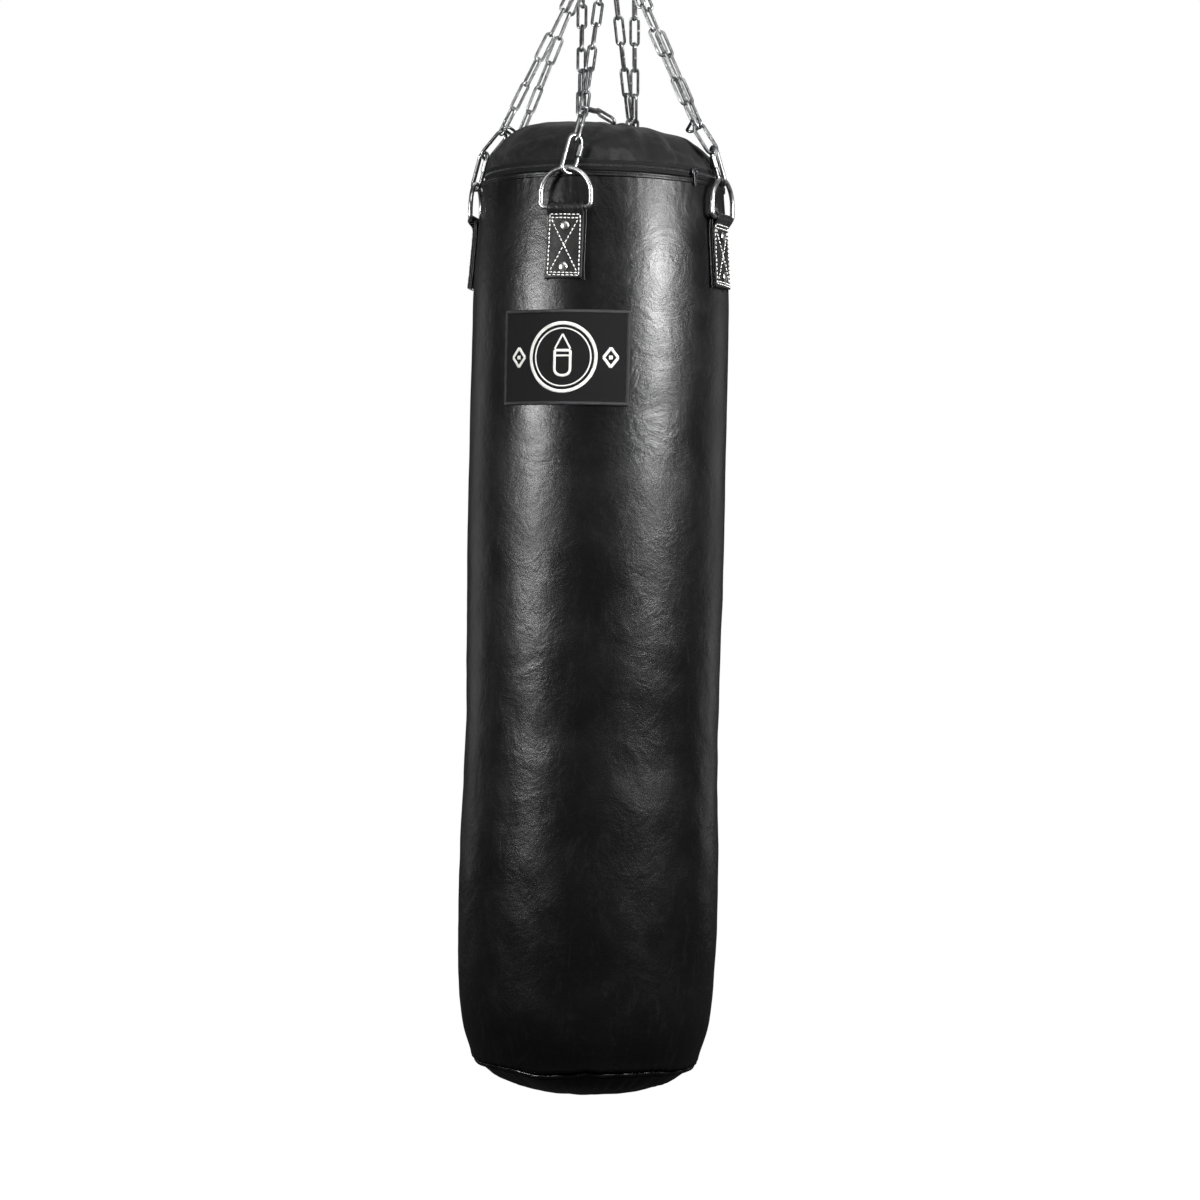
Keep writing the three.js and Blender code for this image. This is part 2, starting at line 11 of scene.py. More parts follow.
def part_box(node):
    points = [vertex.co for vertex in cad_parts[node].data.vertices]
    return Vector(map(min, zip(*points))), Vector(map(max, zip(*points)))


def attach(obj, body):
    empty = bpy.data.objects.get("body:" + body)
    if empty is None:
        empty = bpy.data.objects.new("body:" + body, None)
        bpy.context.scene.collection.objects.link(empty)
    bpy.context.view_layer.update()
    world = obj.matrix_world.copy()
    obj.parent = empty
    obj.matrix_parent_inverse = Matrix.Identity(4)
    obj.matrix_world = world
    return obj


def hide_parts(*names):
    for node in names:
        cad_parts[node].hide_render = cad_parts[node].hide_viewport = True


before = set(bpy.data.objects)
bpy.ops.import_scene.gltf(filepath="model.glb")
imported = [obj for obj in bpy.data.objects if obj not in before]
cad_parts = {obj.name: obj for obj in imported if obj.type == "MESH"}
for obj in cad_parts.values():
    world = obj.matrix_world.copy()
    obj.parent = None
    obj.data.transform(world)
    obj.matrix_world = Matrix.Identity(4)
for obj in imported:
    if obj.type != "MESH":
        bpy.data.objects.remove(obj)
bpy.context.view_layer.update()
random.seed(11)

MM = 0.001
ZIP_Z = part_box("zip_tape")[1].z / MM - 7.6     # the zip line, where the lid meets the shell
UP = Vector((0, 0, 1))
X_AXIS = Vector((1, 0, 0))
Y_AXIS = Vector((0, 1, 0))


def circle(count):
    """Evenly spaced angles round a full turn."""
    return [tau * i / count for i in range(count)]


def outward(angle):
    """The level direction at an angle round the bag, counted from its front."""
    return Vector((sin(angle), -cos(angle), 0))


def new_object(name, data):
    thing = bpy.data.objects.new(name, data)
    bpy.context.scene.collection.objects.link(thing)
    return thing


# ---- camera, floor and lights
CAMERA_AZIMUTH = radians(16)
CAMERA_DISTANCE = 4.65
CAMERA_DROP = 587                              # below the zip line
CAMERA_ASIDE = 0.0077
CAMERA_ROLL = radians(1.22)
CAMERA_LENS = 99.6
CAMERA_SENSOR = 36
LIGHTS = [                                     # azimuth from the camera, distance, height, size, watts, aim
    ("strip_left", -56, 2.2, -0.62, (0.36, 0.66), 54, -0.66),
    ("strip_right", 51, 2.0, -0.30, (0.66, 0.62), 92, -0.5),
    ("top_soft", 10, 2.4, 1.9, (2.6, 2.0), 50, -0.4),
    ("back_left", 130, 2.6, -0.9, (0.9, 1.4), 3, -0.8),
    ("back_right", -128, 2.6, -0.9, (0.9, 1.4), 3, -0.8),
    ("back_top", 180, 2.4, 1.9, (2.2, 1.6), 26, -0.4),
    ("back_fill", 180, 2.6, -0.8, (0.5, 1.3), 16, -0.85),
]
FLOOR_Z = -6.6                                 # far down, so that the underside can be looked at
FLOOR_RADIUS = 30


def make_camera():
    data = bpy.data.cameras.new("camera")
    data.lens = CAMERA_LENS
    data.sensor_width = CAMERA_SENSOR
    camera = new_object("camera", data)
    right = Vector((cos(CAMERA_AZIMUTH), sin(CAMERA_AZIMUTH), 0))
    turn = Matrix.Rotation(CAMERA_AZIMUTH, 4, "Z") @ Matrix.Rotation(pi / 2, 4, "X")
    turn = turn @ Matrix.Rotation(CAMERA_ROLL, 4, "Z")
    place = outward(CAMERA_AZIMUTH) * CAMERA_DISTANCE + right * CAMERA_ASIDE + UP * (ZIP_Z - CAMERA_DROP) * MM
    camera.matrix_world = Matrix.Translation(place) @ turn
    bpy.context.scene.camera = camera


def area_light(name, azimuth, distance, height, size, power, aim_height):
    """A soft box at an azimuth from the camera's side, facing the bag."""
    data = bpy.data.lights.new(name, "AREA")
    data.shape = "RECTANGLE"
    data.size, data.size_y = size
    data.energy = power
    light = new_object(name, data)
    place = outward(CAMERA_AZIMUTH + radians(azimuth)) * distance + UP * height
    light.rotation_euler = (UP * aim_height - place).to_track_quat("-Z", "Y").to_euler()
    light.location = place


def make_stage():
    bpy.ops.mesh.primitive_circle_add(vertices=96, radius=FLOOR_RADIUS, fill_type="NGON", location=(0, 0, FLOOR_Z))
    floor = bpy.context.object
    floor.name = "floor"
    mat = bpy.data.materials.new("floor_pale")
    mat.use_nodes = True
    shader = mat.node_tree.nodes["Principled BSDF"]
    shader.inputs["Base Color"].default_value = (0.86, 0.86, 0.86, 1)
    shader.inputs["Roughness"].default_value = 0.9
    shader.inputs["Emission Color"].default_value = (1, 1, 1, 1)
    shader.inputs["Emission Strength"].default_value = 1.0
    floor.data.materials.append(mat)
    floor.visible_glossy = False
    floor.visible_diffuse = False
    world = bpy.data.worlds.new("studio")
    world.use_nodes = True
    bpy.context.scene.world = world
    nodes, links = world.node_tree.nodes, world.node_tree.links
    path = nodes.new("ShaderNodeLightPath")
    mix = nodes.new("ShaderNodeMix")
    mix.data_type = "RGBA"
    mix.inputs["A"].default_value = (0.035, 0.035, 0.036, 1)
    mix.inputs["B"].default_value = (1, 1, 1, 1)
    links.new(path.outputs["Is Camera Ray"], mix.inputs["Factor"])
    links.new(mix.outputs["Result"], nodes["Background"].inputs["Color"])
    bpy.context.scene.view_settings.view_transform = "Standard"
    for light in LIGHTS:
        area_light(*light)


# ---- materials
class Look:
    """A Principled material with a few shorthand calls for its node tree."""

    def __init__(self, name, color, roughness, metallic=0.0, specular=0.5):
        self.mat = bpy.data.materials.new(name)
        self.mat.use_nodes = True
        self.nodes = self.mat.node_tree.nodes
        self.links = self.mat.node_tree.links
        self.shader = self.nodes["Principled BSDF"]
        self.shader.inputs["Base Color"].default_value = (*color, 1)
        self.shader.inputs["Roughness"].default_value = roughness
        self.shader.inputs["Metallic"].default_value = metallic
        self.shader.inputs["Specular IOR Level"].default_value = specular
        self.coords = self.nodes.new("ShaderNodeTexCoord").outputs["Object"]
        self.normal = None

    def add(self, kind, output, values, inputs, **settings):
        """A node with its settings, constant values and linked inputs; gives one of its outputs."""
        node = self.nodes.new("ShaderNode" + kind)
        for key, value in settings.items():
            setattr(node, key, value)
        for key, value in values.items():
            node.inputs[key].default_value = value
        for key, source in inputs.items():
            self.links.new(source, node.inputs[key])
        return node.outputs[output]

    def stretched(self, scale):
        return self.add("Mapping", "Vector", {"Scale": scale}, {"Vector": self.coords})

    def noise(self, scale, detail=4.0, rough=0.55, distort=0.0, coords=None):
        values = {"Scale": scale, "Detail": detail, "Roughness": rough, "Distortion": distort}
        return self.add("TexNoise", "Fac", values, {"Vector": coords or self.coords})

    def cells(self, scale):
        return self.add("TexVoronoi", "Distance", {"Scale": scale}, {"Vector": self.coords}, feature="F1")

    def ramp(self, value, low, high, out_low=0.0, out_high=1.0):
        values = {"From Min": low, "From Max": high, "To Min": out_low, "To Max": out_high}
        return self.add("MapRange", "Result", values, {"Value": value}, interpolation_type="SMOOTHSTEP")

    def bump(self, height, strength, distance):
        inputs = {"Height": height}
        if self.normal:
            inputs["Normal"] = self.normal
        self.normal = self.add("Bump", "Normal", {"Strength": strength, "Distance": distance}, inputs)
        self.paint("Normal", self.normal)

    def mix(self, factor, a, b):
        return self.add("Mix", "Result", {"A": (*a, 1), "B": (*b, 1)}, {"Factor": factor}, data_type="RGBA")

    def paint(self, socket, output):
        self.links.new(output, self.shader.inputs[socket])


def leather_look():
    look = Look("grained_leather", (0.004, 0.004, 0.0042), 0.38, specular=0.32)
    patches = look.noise(9, 5, 0.6, 0.4)
    scuffs = look.noise(70, 6, 0.7, 1.2, look.stretched((1, 1, 0.35)))
    tone = look.mix(look.ramp(scuffs, 0.5, 0.78), (0.0028, 0.0028, 0.003), (0.008, 0.008, 0.0085))
    look.paint("Base Color", tone)
    look.paint("Roughness", look.ramp(patches, 0.3, 0.72, 0.29, 0.41))
    look.bump(look.noise(16, 4, 0.6, 0.8), 0.36, 0.004)
    look.bump(look.noise(42, 4, 0.6, 1.6), 0.22, 0.0016)
    look.bump(look.noise(95, 5, 0.65, 0.6), 0.35, 0.0008)
    look.bump(look.cells(820), 0.30, 0.00035)
    return look.mat


def suede_look():
    look = Look("lid_nubuck", (0.014, 0.014, 0.015), 0.82, specular=0.3)
    smear = look.noise(22, 5, 0.65, 1.0)
    look.paint("Base Color", look.mix(look.ramp(smear, 0.46, 0.72), (0.0012, 0.0012, 0.0013), (0.016, 0.016, 0.017)))
    look.bump(look.ramp(look.noise(26, 3, 0.5, 2.5, look.stretched((1, 1, 0.6))), 0.44, 0.5), 0.22, 0.002)
    look.bump(look.noise(60, 5, 0.6, 0.5), 0.35, 0.0015)
    look.bump(look.noise(1500, 2, 0.6), 0.3, 0.0003)
    look.shader.inputs["Sheen Weight"].default_value = 0.03
    look.shader.inputs["Sheen Roughness"].default_value = 0.5
    return look.mat


def strap_look():
    look = Look("strap_leather", (0.006, 0.006, 0.0065), 0.5, specular=0.3)
    look.paint("Roughness", look.ramp(look.noise(60, 4), 0.3, 0.7, 0.42, 0.6))
    look.bump(look.noise(120, 4, 0.6, 0.6), 0.35, 0.0008)
    look.bump(look.cells(1100), 0.3, 0.0003)
    return look.mat


def cloth_look(name, color, thread, rough=0.85):
    """Woven cloth: two crossed sets of threads around the bag and down it."""
    look = Look(name, color, rough, specular=0.15)
    for axis, strength in (("Z", 0.5), ("DIAGONAL", 0.35)):
        wave = look.add("TexWave", "Fac", {"Scale": thread}, {"Vector": look.coords}, bands_direction=axis)
        look.bump(wave, strength, 0.0003)
    shade = tuple(c * 0.6 for c in color)
    look.paint("Base Color", look.mix(look.noise(900, 2), shade, tuple(c * 1.4 for c in color)))
    return look.mat


def thread_look(name, color):
    look = Look(name, color, 0.6)
    look.paint("Base Color", look.mix(look.noise(500, 3), tuple(c * 0.75 for c in color), color))
    look.bump(look.noise(2600, 2), 0.5, 0.0002)
    return look.mat


def metal_look(name, color, rough, worn, metallic=1.0):
    look = Look(name, color, rough, metallic)
    stain = look.noise(130, 5, 0.65, 0.5)
    dark = tuple(c * worn for c in color)
    look.paint("Base Color", look.mix(look.ramp(stain, 0.35, 0.7), dark, color))
    look.paint("Roughness", look.ramp(look.noise(300, 4, 0.6), 0.3, 0.75, rough * 0.85, rough * 1.35))
    look.bump(look.noise(420, 4, 0.6), 0.12, 0.0004)
    return look.mat


LOOKS = {
    "leather": leather_look(),
    "suede": suede_look(),
    "webbing": strap_look(),
    "zip_cloth": cloth_look("zip_weave", (0.007, 0.007, 0.0075), 420, 0.7),
    "label_cloth": cloth_look("label_weave", (0.006, 0.006, 0.0065), 380),
    "foam": cloth_look("foam_cells", (0.3, 0.3, 0.29), 200),
    "filling": cloth_look("shredded_textile", (0.42, 0.38, 0.34), 120),
    "nickel": metal_look("nickel_plate", (0.62, 0.62, 0.61), 0.3, 0.7),
    "zinc": metal_look("zinc_plate", (0.40, 0.405, 0.41), 0.33, 0.5),
    "steel": metal_look("forged_steel", (0.42, 0.425, 0.43), 0.3, 0.6),
    "thread": thread_look("white_thread", (0.80, 0.79, 0.76)),
    "black_thread": thread_look("black_thread", (0.02, 0.02, 0.022)),
    "gunmetal": metal_look("blackened_slider", (0.10, 0.10, 0.105), 0.32, 0.6),
    "coil": metal_look("nylon_coil", (0.03, 0.03, 0.032), 0.4, 0.8, 0.0),
}


# ---- mesh helpers
def mesh_object(name, verts, faces, slot, look=None):
    """A mesh from points in millimetres, riding on nothing yet."""
    mesh = bpy.data.meshes.new(name)
    mesh.from_pydata([tuple(c * MM for c in v) for v in verts], [], faces)
    mesh.validate()
    shape = bmesh.new()
    shape.from_mesh(mesh)
    bmesh.ops.recalc_face_normals(shape, faces=shape.faces)
    shape.to_mesh(mesh)
    shape.free()
    mesh.polygons.foreach_set("use_smooth", [True] * len(mesh.polygons))
    mesh.materials.append(LOOKS[look or slot])
    piece = new_object(name, mesh)
    return piece


def finish_piece(piece, node=None, body="bag"):
    """Has a piece ride on its body and stand for its CAD node, if it has one."""
    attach(piece, body)
    if node:
        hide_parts(node)
    return piece


class Solid:
    """Collects points and faces, so that a piece can be made of several closed forms."""

    def __init__(self):
        self.verts = []
        self.faces = []

    def join(self, a, b, count):
        """Faces between two closed rings of points that start at a and at b."""
        for j in range(count):
            k = (j + 1) % count
            self.faces.append((a + j, a + k, b + k, b + j))

    def grid(self, rows, wrap_rows=False, caps=False):
        """Rings of equal length, joined ring to ring."""
        start = len(self.verts)
        count = len(rows[0])
        for row in rows:
            self.verts.extend(row)
        steps = len(rows) if wrap_rows else len(rows) - 1
        for i in range(steps):
            self.join(start + i * count, start + ((i + 1) % len(rows)) * count, count)
        if caps:
            self.faces.append(tuple(range(start + count - 1, start - 1, -1)))
            last = start + (len(rows) - 1) * count
            self.faces.append(tuple(range(last, last + count)))

    def tube(self, points, radius, closed=False, sides=12, guide=None):
        """A round bar through points; radius may be a function of the fraction along it."""
        count = len(points)
        normal = None
        rows = []
        for i, point in enumerate(points):
            before = points[i - 1] if closed or i else points[i]
            after = points[(i + 1) % count] if closed or i < count - 1 else points[i]
            along = (after - before).normalized()
            if normal is None:
                seed = guide or (UP if abs(along.z) < 0.9 else X_AXIS)
                normal = (seed - along * seed.dot(along)).normalized()
            else:
                normal = (normal - along * normal.dot(along)).normalized()
            across = along.cross(normal)
            size = radius(i / (count - 1)) if callable(radius) else radius
            rows.append([point + normal * size * cos(a) + across * size * sin(a) for a in circle(sides)])
        self.grid(rows, wrap_rows=closed, caps=not closed)

    def slab(self, face, back):
        """Two grids of points, the face and the back of one sheet, closed round their edges."""
        start, rows, cols = len(self.verts), len(face), len(face[0])
        for grid in (face, back):
            for row in grid:
                self.verts.extend(row)
        lower = start + rows * cols
        for i in range(rows - 1):
            for j in range(cols - 1):
                a = i * cols + j
                quad = (a, a + 1, a + cols + 1, a + cols)
                self.faces.append(tuple(start + v for v in quad))
                self.faces.append(tuple(lower + v for v in reversed(quad)))
        rim = list(range(cols)) + [i * cols + cols - 1 for i in range(1, rows)]
        rim += [(rows - 1) * cols + j for j in range(cols - 2, -1, -1)]
        rim += [i * cols for i in range(rows - 2, 0, -1)]
        for a, b in zip(rim, rim[1:] + rim[:1]):
            self.faces.append((start + b, start + a, lower + a, lower + b))

    def plate(self, outline, hole, lift):
        """A flat plate between two loops of equal length, lifted by a vector for its second face."""
        start, count = len(self.verts), len(outline)
        for loop in (outline, hole):
            self.verts.extend(loop)
            self.verts.extend([p + lift for p in loop])
        loops = [start, start + count, start + 3 * count, start + 2 * count]
        for a, b in zip(loops, loops[1:] + loops[:1]):
            self.join(a, b, count)

    def finish(self, name, slot, node=None, body="bag", look=None, bevel=0, angle=40):
        piece = mesh_object(name, self.verts, self.faces, slot, look)
        if bevel:
            soft = piece.modifiers.new("soft_edges", "BEVEL")
            soft.width = bevel * MM
            soft.segments = 2
            soft.limit_method = "ANGLE"
            soft.angle_limit = radians(angle)
        return finish_piece(piece, node, body)


def split_pairs(rows):
    """Rows of (face, back) points as a grid of faces and a grid of backs."""
    return [[[pair[side] for pair in row] for row in rows] for side in (0, 1)]


def arc(centre, along, across, radius, start, end, count):
    points = []
    for i in range(count):
        angle = radians(start + (end - start) * i / (count - 1))
        points.append(centre + along * radius * cos(angle) + across * radius * sin(angle))
    return points


def smooth_path(points, count):
    """Catmull-Rom curve through points, evenly stepped in its parameter."""
    padded = [points[0] * 2 - points[1], *points, points[-1] * 2 - points[-2]]
    out = []
    for i in range(count):
        place = i / (count - 1) * (len(points) - 1)
        k = min(int(place), len(points) - 2)
        t = place - k
        a, b, c, d = padded[k:k + 4]
        out.append(0.5 * ((2 * b) + (c - a) * t + (2 * a - 5 * b + 4 * c - d) * t * t
                          + (3 * b - a - 3 * c + d) * t * t * t))
    return out


# ---- legs: the same places as the CAD model
GAP = 0.35
BAR_Z = -160
HOOK_WIRE = 3
DELTA_WIRE = 4
LINK_WIRE = 2.1
LINK_HALF_WIDTH = 5.55
LINK_PITCH = 38.5
LINK_OVERLAP = 0.9
LINKS_PER_STRAND = 6
BITE = 2 * LINK_WIRE - LINK_OVERLAP
JOINER_WIRE = 2.5
JOINER_HALF_WIDTH = 7.5
JOINER_LENGTH = 46
QUICK_WIRE = 3
QUICK_HALF_WIDTH = 10
QUICK_LENGTH = 54
QUICK_GATE = 15
QUICK_GATE_RISE = 8
SLEEVE_LENGTH = 17
QUICK_TURN = 135
JOINER_TURN = 45
STRAND_LEAN = -45
RING_WIRE = 3.25
RING_HALF_WIDTH = 35.25
RING_HEIGHT = 53.2
RING_BAR = (181.9, -58)
RING_BOW = (181.4, -4.8)
LEGS = {
    "front": {"azimuth": 0, "hook": -19, "foot": 2.5, "quick": (11, 171, 41), "joiner": (13, 150, 76)},
    "right": {"azimuth": 81, "hook": 6.5, "foot": -4, "quick": (-10, 169, 41), "joiner": (-15, 144, 75)},
    "rear": {"azimuth": 180, "hook": 19, "foot": 0, "quick": (0, 170, 41), "joiner": (0, 149, 76)},
    "left": {"azimuth": -84, "hook": -6.5, "foot": 0, "quick": (0, 170, 41), "joiner": (0, 140, 72)},
}
SLACK_LEG = "left"
SLACK_POINT = (-36, 129, 66)
TAILS = {"front": ((22, 107, 80), (50, 125, 64)), "right": ((15, 124, 66),)}
TAIL_START = 12.5
TAIL_TURN = 50                                 # degrees from one spare link to the next
STRAND_SPREAD = 14.3                           # half the gap between a leg's strands at their top
STRAND_MEET = 2.5                              # and where they meet


class Leg:
    """A leg's frame: out from the bag's axis and sideways."""

    def __init__(self, azimuth):
        self.angle = radians(azimuth)
        self.out = outward(self.angle)
        self.side = Vector((cos(self.angle), sin(self.angle), 0))

    def point(self, sideways, radius, height):
        return self.side * sideways + self.out * radius + UP * (ZIP_Z + height)


def turned_axes(start, end, out, turn):
    along = (end - start).normalized()
    outward = (out - along * out.dot(along)).normalized()
    sideways = along.cross(outward)
    flat = outward * cos(radians(turn)) + sideways * sin(radians(turn))
    return along, flat, along.cross(flat)


def oval_points(start, end, flat, half_width, arc_steps=10, side_steps=5):
    """The closed centre line of a link whose wire centres meet its two ends."""
    along = (end - start).normalized()
    low = start + along * half_width
    high = end - along * half_width
    points = arc(high, flat, along, half_width, 0, 180, arc_steps)
    side = flat * half_width
    points += [(high - side).lerp(low - side, i / side_steps) for i in range(1, side_steps)]
    points += arc(low, flat, along, half_width, 180, 360, arc_steps)
    points += [(low + side).lerp(high + side, i / side_steps) for i in range(1, side_steps)]
    return points


def add_link(solid, start, end, out, turn, wire=LINK_WIRE, half_width=LINK_HALF_WIDTH):
    """A closed link with a welded bead at the middle of one side."""
    along, flat, normal = turned_axes(start, end, out, turn)
    points = oval_points(start, end, flat, half_width)
    solid.tube(points, wire, closed=True, sides=14, guide=normal)
    middle = start.lerp(end, 0.5) + flat * half_width
    bead = [middle + along * 2.4 * (i / 4 - 1) for i in range(9)]
    solid.tube(bead, lambda f: wire * (1.0 + 0.13 * sin(pi * f) ** 2), sides=14, guide=normal)


def add_strand(solid, start, end, out):
    pitch = ((end - start).length - BITE) / LINKS_PER_STRAND
    along = (end - start).normalized()
    for i in range(LINKS_PER_STRAND):
        foot = start + along * pitch * i
        turn = 90 * i + STRAND_LEAN * min(1, i / 3)
        add_link(solid, foot, foot + along * (pitch + BITE), out, turn)


def quick_link(name, foot, top, out):
    along, flat, normal = turned_axes(foot, top, out, QUICK_TURN)
    centre = foot.lerp(top, 0.5)
    straight = QUICK_LENGTH / 2 - QUICK_HALF_WIDTH
    gate_high = centre + flat * QUICK_HALF_WIDTH + along * (QUICK_GATE_RISE + QUICK_GATE / 2)
    gate_low = centre + flat * QUICK_HALF_WIDTH + along * (QUICK_GATE_RISE - QUICK_GATE / 2)
    points = [gate_high]
    points += arc(centre + along * straight, flat, along, QUICK_HALF_WIDTH, 0, 180, 20)
    far_side = centre - flat * QUICK_HALF_WIDTH
    points += [far_side + along * straight * s for s in (0.6, 0.2, -0.2, -0.6)]
    points += arc(centre - along * straight, flat, along, QUICK_HALF_WIDTH, 180, 360, 20)
    points += [points[-1].lerp(gate_low, s) for s in (0.4, 0.8)] + [gate_low]
    body = Solid()
    body.tube(points, QUICK_WIRE, sides=18, guide=normal)
    turns, steps = 9, 14
    helix = []
    for i in range(turns * steps):
        angle = tau * i / steps
        spot = gate_low.lerp(gate_high, 0.02) - along * 5.0 + along * (i / steps)
        helix.append(spot + flat * 2.95 * cos(angle) + normal * 2.95 * sin(angle))
    body.tube(helix, 0.28, sides=5)
    body.finish(f"{name}_quick_link_body", "zinc", f"{name}_quick_link")

    sleeve_centre = centre + flat * QUICK_HALF_WIDTH + along * QUICK_GATE_RISE
    half = SLEEVE_LENGTH / 2
    profile = [(3.4, -half), (4.3, -half), (5.15, -half + 1.0), (5.2, -half + 1.6), (5.2, half - 1.6),
               (5.15, half - 1.0), (4.3, half), (3.4, half)]
    rows = []
    for radius, height in profile:
        row = []
        for angle in circle(48):
            facet = (angle + pi / 6) % (pi / 3) - pi / 6
            hexagon = 5.2 * cos(pi / 6) / cos(facet)
            size = min(radius, hexagon + 0.15) if radius > 3.5 else radius
            aim = flat * cos(angle) + normal * sin(angle)
            row.append(sleeve_centre + along * height + aim * size)
        rows.append(row)
    nut = Solid()
    nut.grid(rows, wrap_rows=True)
    nut.finish(f"{name}_screw_sleeve", "zinc", f"{name}_link_sleeve", f"{name}_sleeve", bevel=0.25)


def s_hook(name, hook_x, link_wire, out):
    bar = Vector((hook_x, 0, BAR_Z))
    down = (link_wire - bar).normalized()
    length = (link_wire - bar).length
    upper = DELTA_WIRE + HOOK_WIRE + 3 * GAP
    lower = LINK_WIRE + HOOK_WIRE + GAP
    across = Vector((0, 1 if name == "rear" else -1, 0))
    across = (across - down * across.dot(down)).normalized()
    outward = (out - down * out.dot(down)).normalized()
    key = arc(bar, across, -down, upper, 190, 0, 9)
    key.append(bar + across * upper * 0.6 + down * length * 0.3)
    key.append(bar.lerp(link_wire, 0.6) - outward * lower * 0.5)
    key += arc(link_wire, outward, down, lower, 180, -5, 8)
    hook = Solid()
    hook.tube(smooth_path(key, 90), lambda f: HOOK_WIRE * min(1, 0.72 + 9 * min(f, 1 - f)), sides=16)
    hook.finish(f"{name}_hook", "zinc", f"{name}_s_hook")


def leg_hardware(name):
    spec = LEGS[name]
    leg = Leg(spec["azimuth"])
    bow = leg.point(spec["foot"], *RING_BOW)
    quick_aim = (leg.point(*spec["quick"]) - bow).normalized()
    foot = bow - quick_aim * (RING_WIRE + QUICK_WIRE + 5 * GAP)
    quick_top = foot + quick_aim * QUICK_LENGTH
    quick_link(name, foot, quick_top, leg.out)

    joiner_foot = quick_top - quick_aim * (QUICK_WIRE + JOINER_WIRE + 6 * GAP)
    joiner_aim = (leg.point(*spec["joiner"]) - joiner_foot).normalized()
    joiner_top = joiner_foot + joiner_aim * JOINER_LENGTH
    joiner = Solid()
    add_link(joiner, joiner_foot, joiner_top, leg.out, JOINER_TURN, JOINER_WIRE, JOINER_HALF_WIDTH)
    joiner.finish(f"{name}_oval_link", "zinc", f"{name}_joining_link")

    _, flat, normal = turned_axes(joiner_foot, joiner_top, leg.out, JOINER_TURN)
    meet = joiner_top - joiner_aim * (JOINER_WIRE + LINK_WIRE + 0.9)
    aim = (Vector((spec["hook"], 0, BAR_Z)) - meet).normalized()
    strand_top = meet + aim * (LINKS_PER_STRAND * LINK_PITCH + BITE)
    sideways = aim.cross(leg.out).normalized()
    fold = strand_top + aim * (LINK_HALF_WIDTH - BITE)
    fold_half = (LINK_PITCH + BITE) / 2
    chain = Solid()
    add_link(chain, fold + sideways * fold_half, fold - sideways * fold_half, aim, 0)
    for sign in (1, -1):
        start = strand_top + sideways * sign * STRAND_SPREAD
        end = meet + flat * sign * STRAND_MEET
        if name == SLACK_LEG and sign == -1:
            corner = leg.point(*SLACK_POINT)
            hold = meet + flat * STRAND_MEET + aim * TAIL_START + normal * 2
            add_strand(chain, start, corner, leg.out)
            last = (hold - corner).normalized()
            add_link(chain, corner - last * BITE, hold, leg.out, 0)
        else:
            add_strand(chain, start, end, leg.out)
    tail_from = meet + flat * STRAND_MEET + aim * TAIL_START - normal * 2
    for index, target in enumerate(TAILS.get(name, ())):
        tail_to = leg.point(*target)
        step = (tail_to - tail_from).normalized()
        start = tail_from - step * BITE if index else tail_from
        add_link(chain, start, tail_to, UP, 90 - TAIL_TURN * index)
        tail_from = tail_to
    chain.finish(f"{name}_chain", "zinc", f"{name}_leg_chain")
    s_hook(name, spec["hook"], fold + aim * LINK_HALF_WIDTH, leg.out)


def place_local(points, leg, radius, height):
    """Points in a tab's own frame (X sideways, -Y outward, Z up) moved to its leg."""
    centre = leg.out * radius + UP * (ZIP_Z + height)
    return [centre + leg.side * p.x - leg.out * p.y + UP * p.z for p in points]


def d_ring(name):
    leg = Leg(LEGS[name]["azimuth"])
    half, corner = RING_HALF_WIDTH, 7
    points = [Vector((0.3, 0, 0)), Vector((half - corner - 8, 0, 0))]
    points += arc(Vector((half - corner, 0, corner)), X_AXIS, UP, corner, -90, 0, 10)
    points += arc(Vector((0, 0, RING_HEIGHT - half)), X_AXIS, UP, half, 0, 180, 40)
    points += arc(Vector((corner - half, 0, corner)), X_AXIS, UP, corner, 180, 270, 10)
    points += [Vector((corner + 8 - half, 0, 0)), Vector((-0.3, 0, 0))]
    lean = atan2(RING_BAR[0] - RING_BOW[0], RING_BOW[1] - RING_BAR[1])
    turn = Matrix.Rotation(-lean, 3, "X")
    ring = Solid()
    ring.tube(place_local([turn @ p for p in points], leg, *RING_BAR), RING_WIRE, sides=18, guide=leg.out)
    ring.finish(f"{name}_ring", "nickel", f"{name}_d_ring")


# ---- swivel and triangular ring
def lathe_rows(profile, steps=64):
    return [[Vector((radius * cos(a), radius * sin(a), height)) for a in circle(steps)] for radius, height in profile]


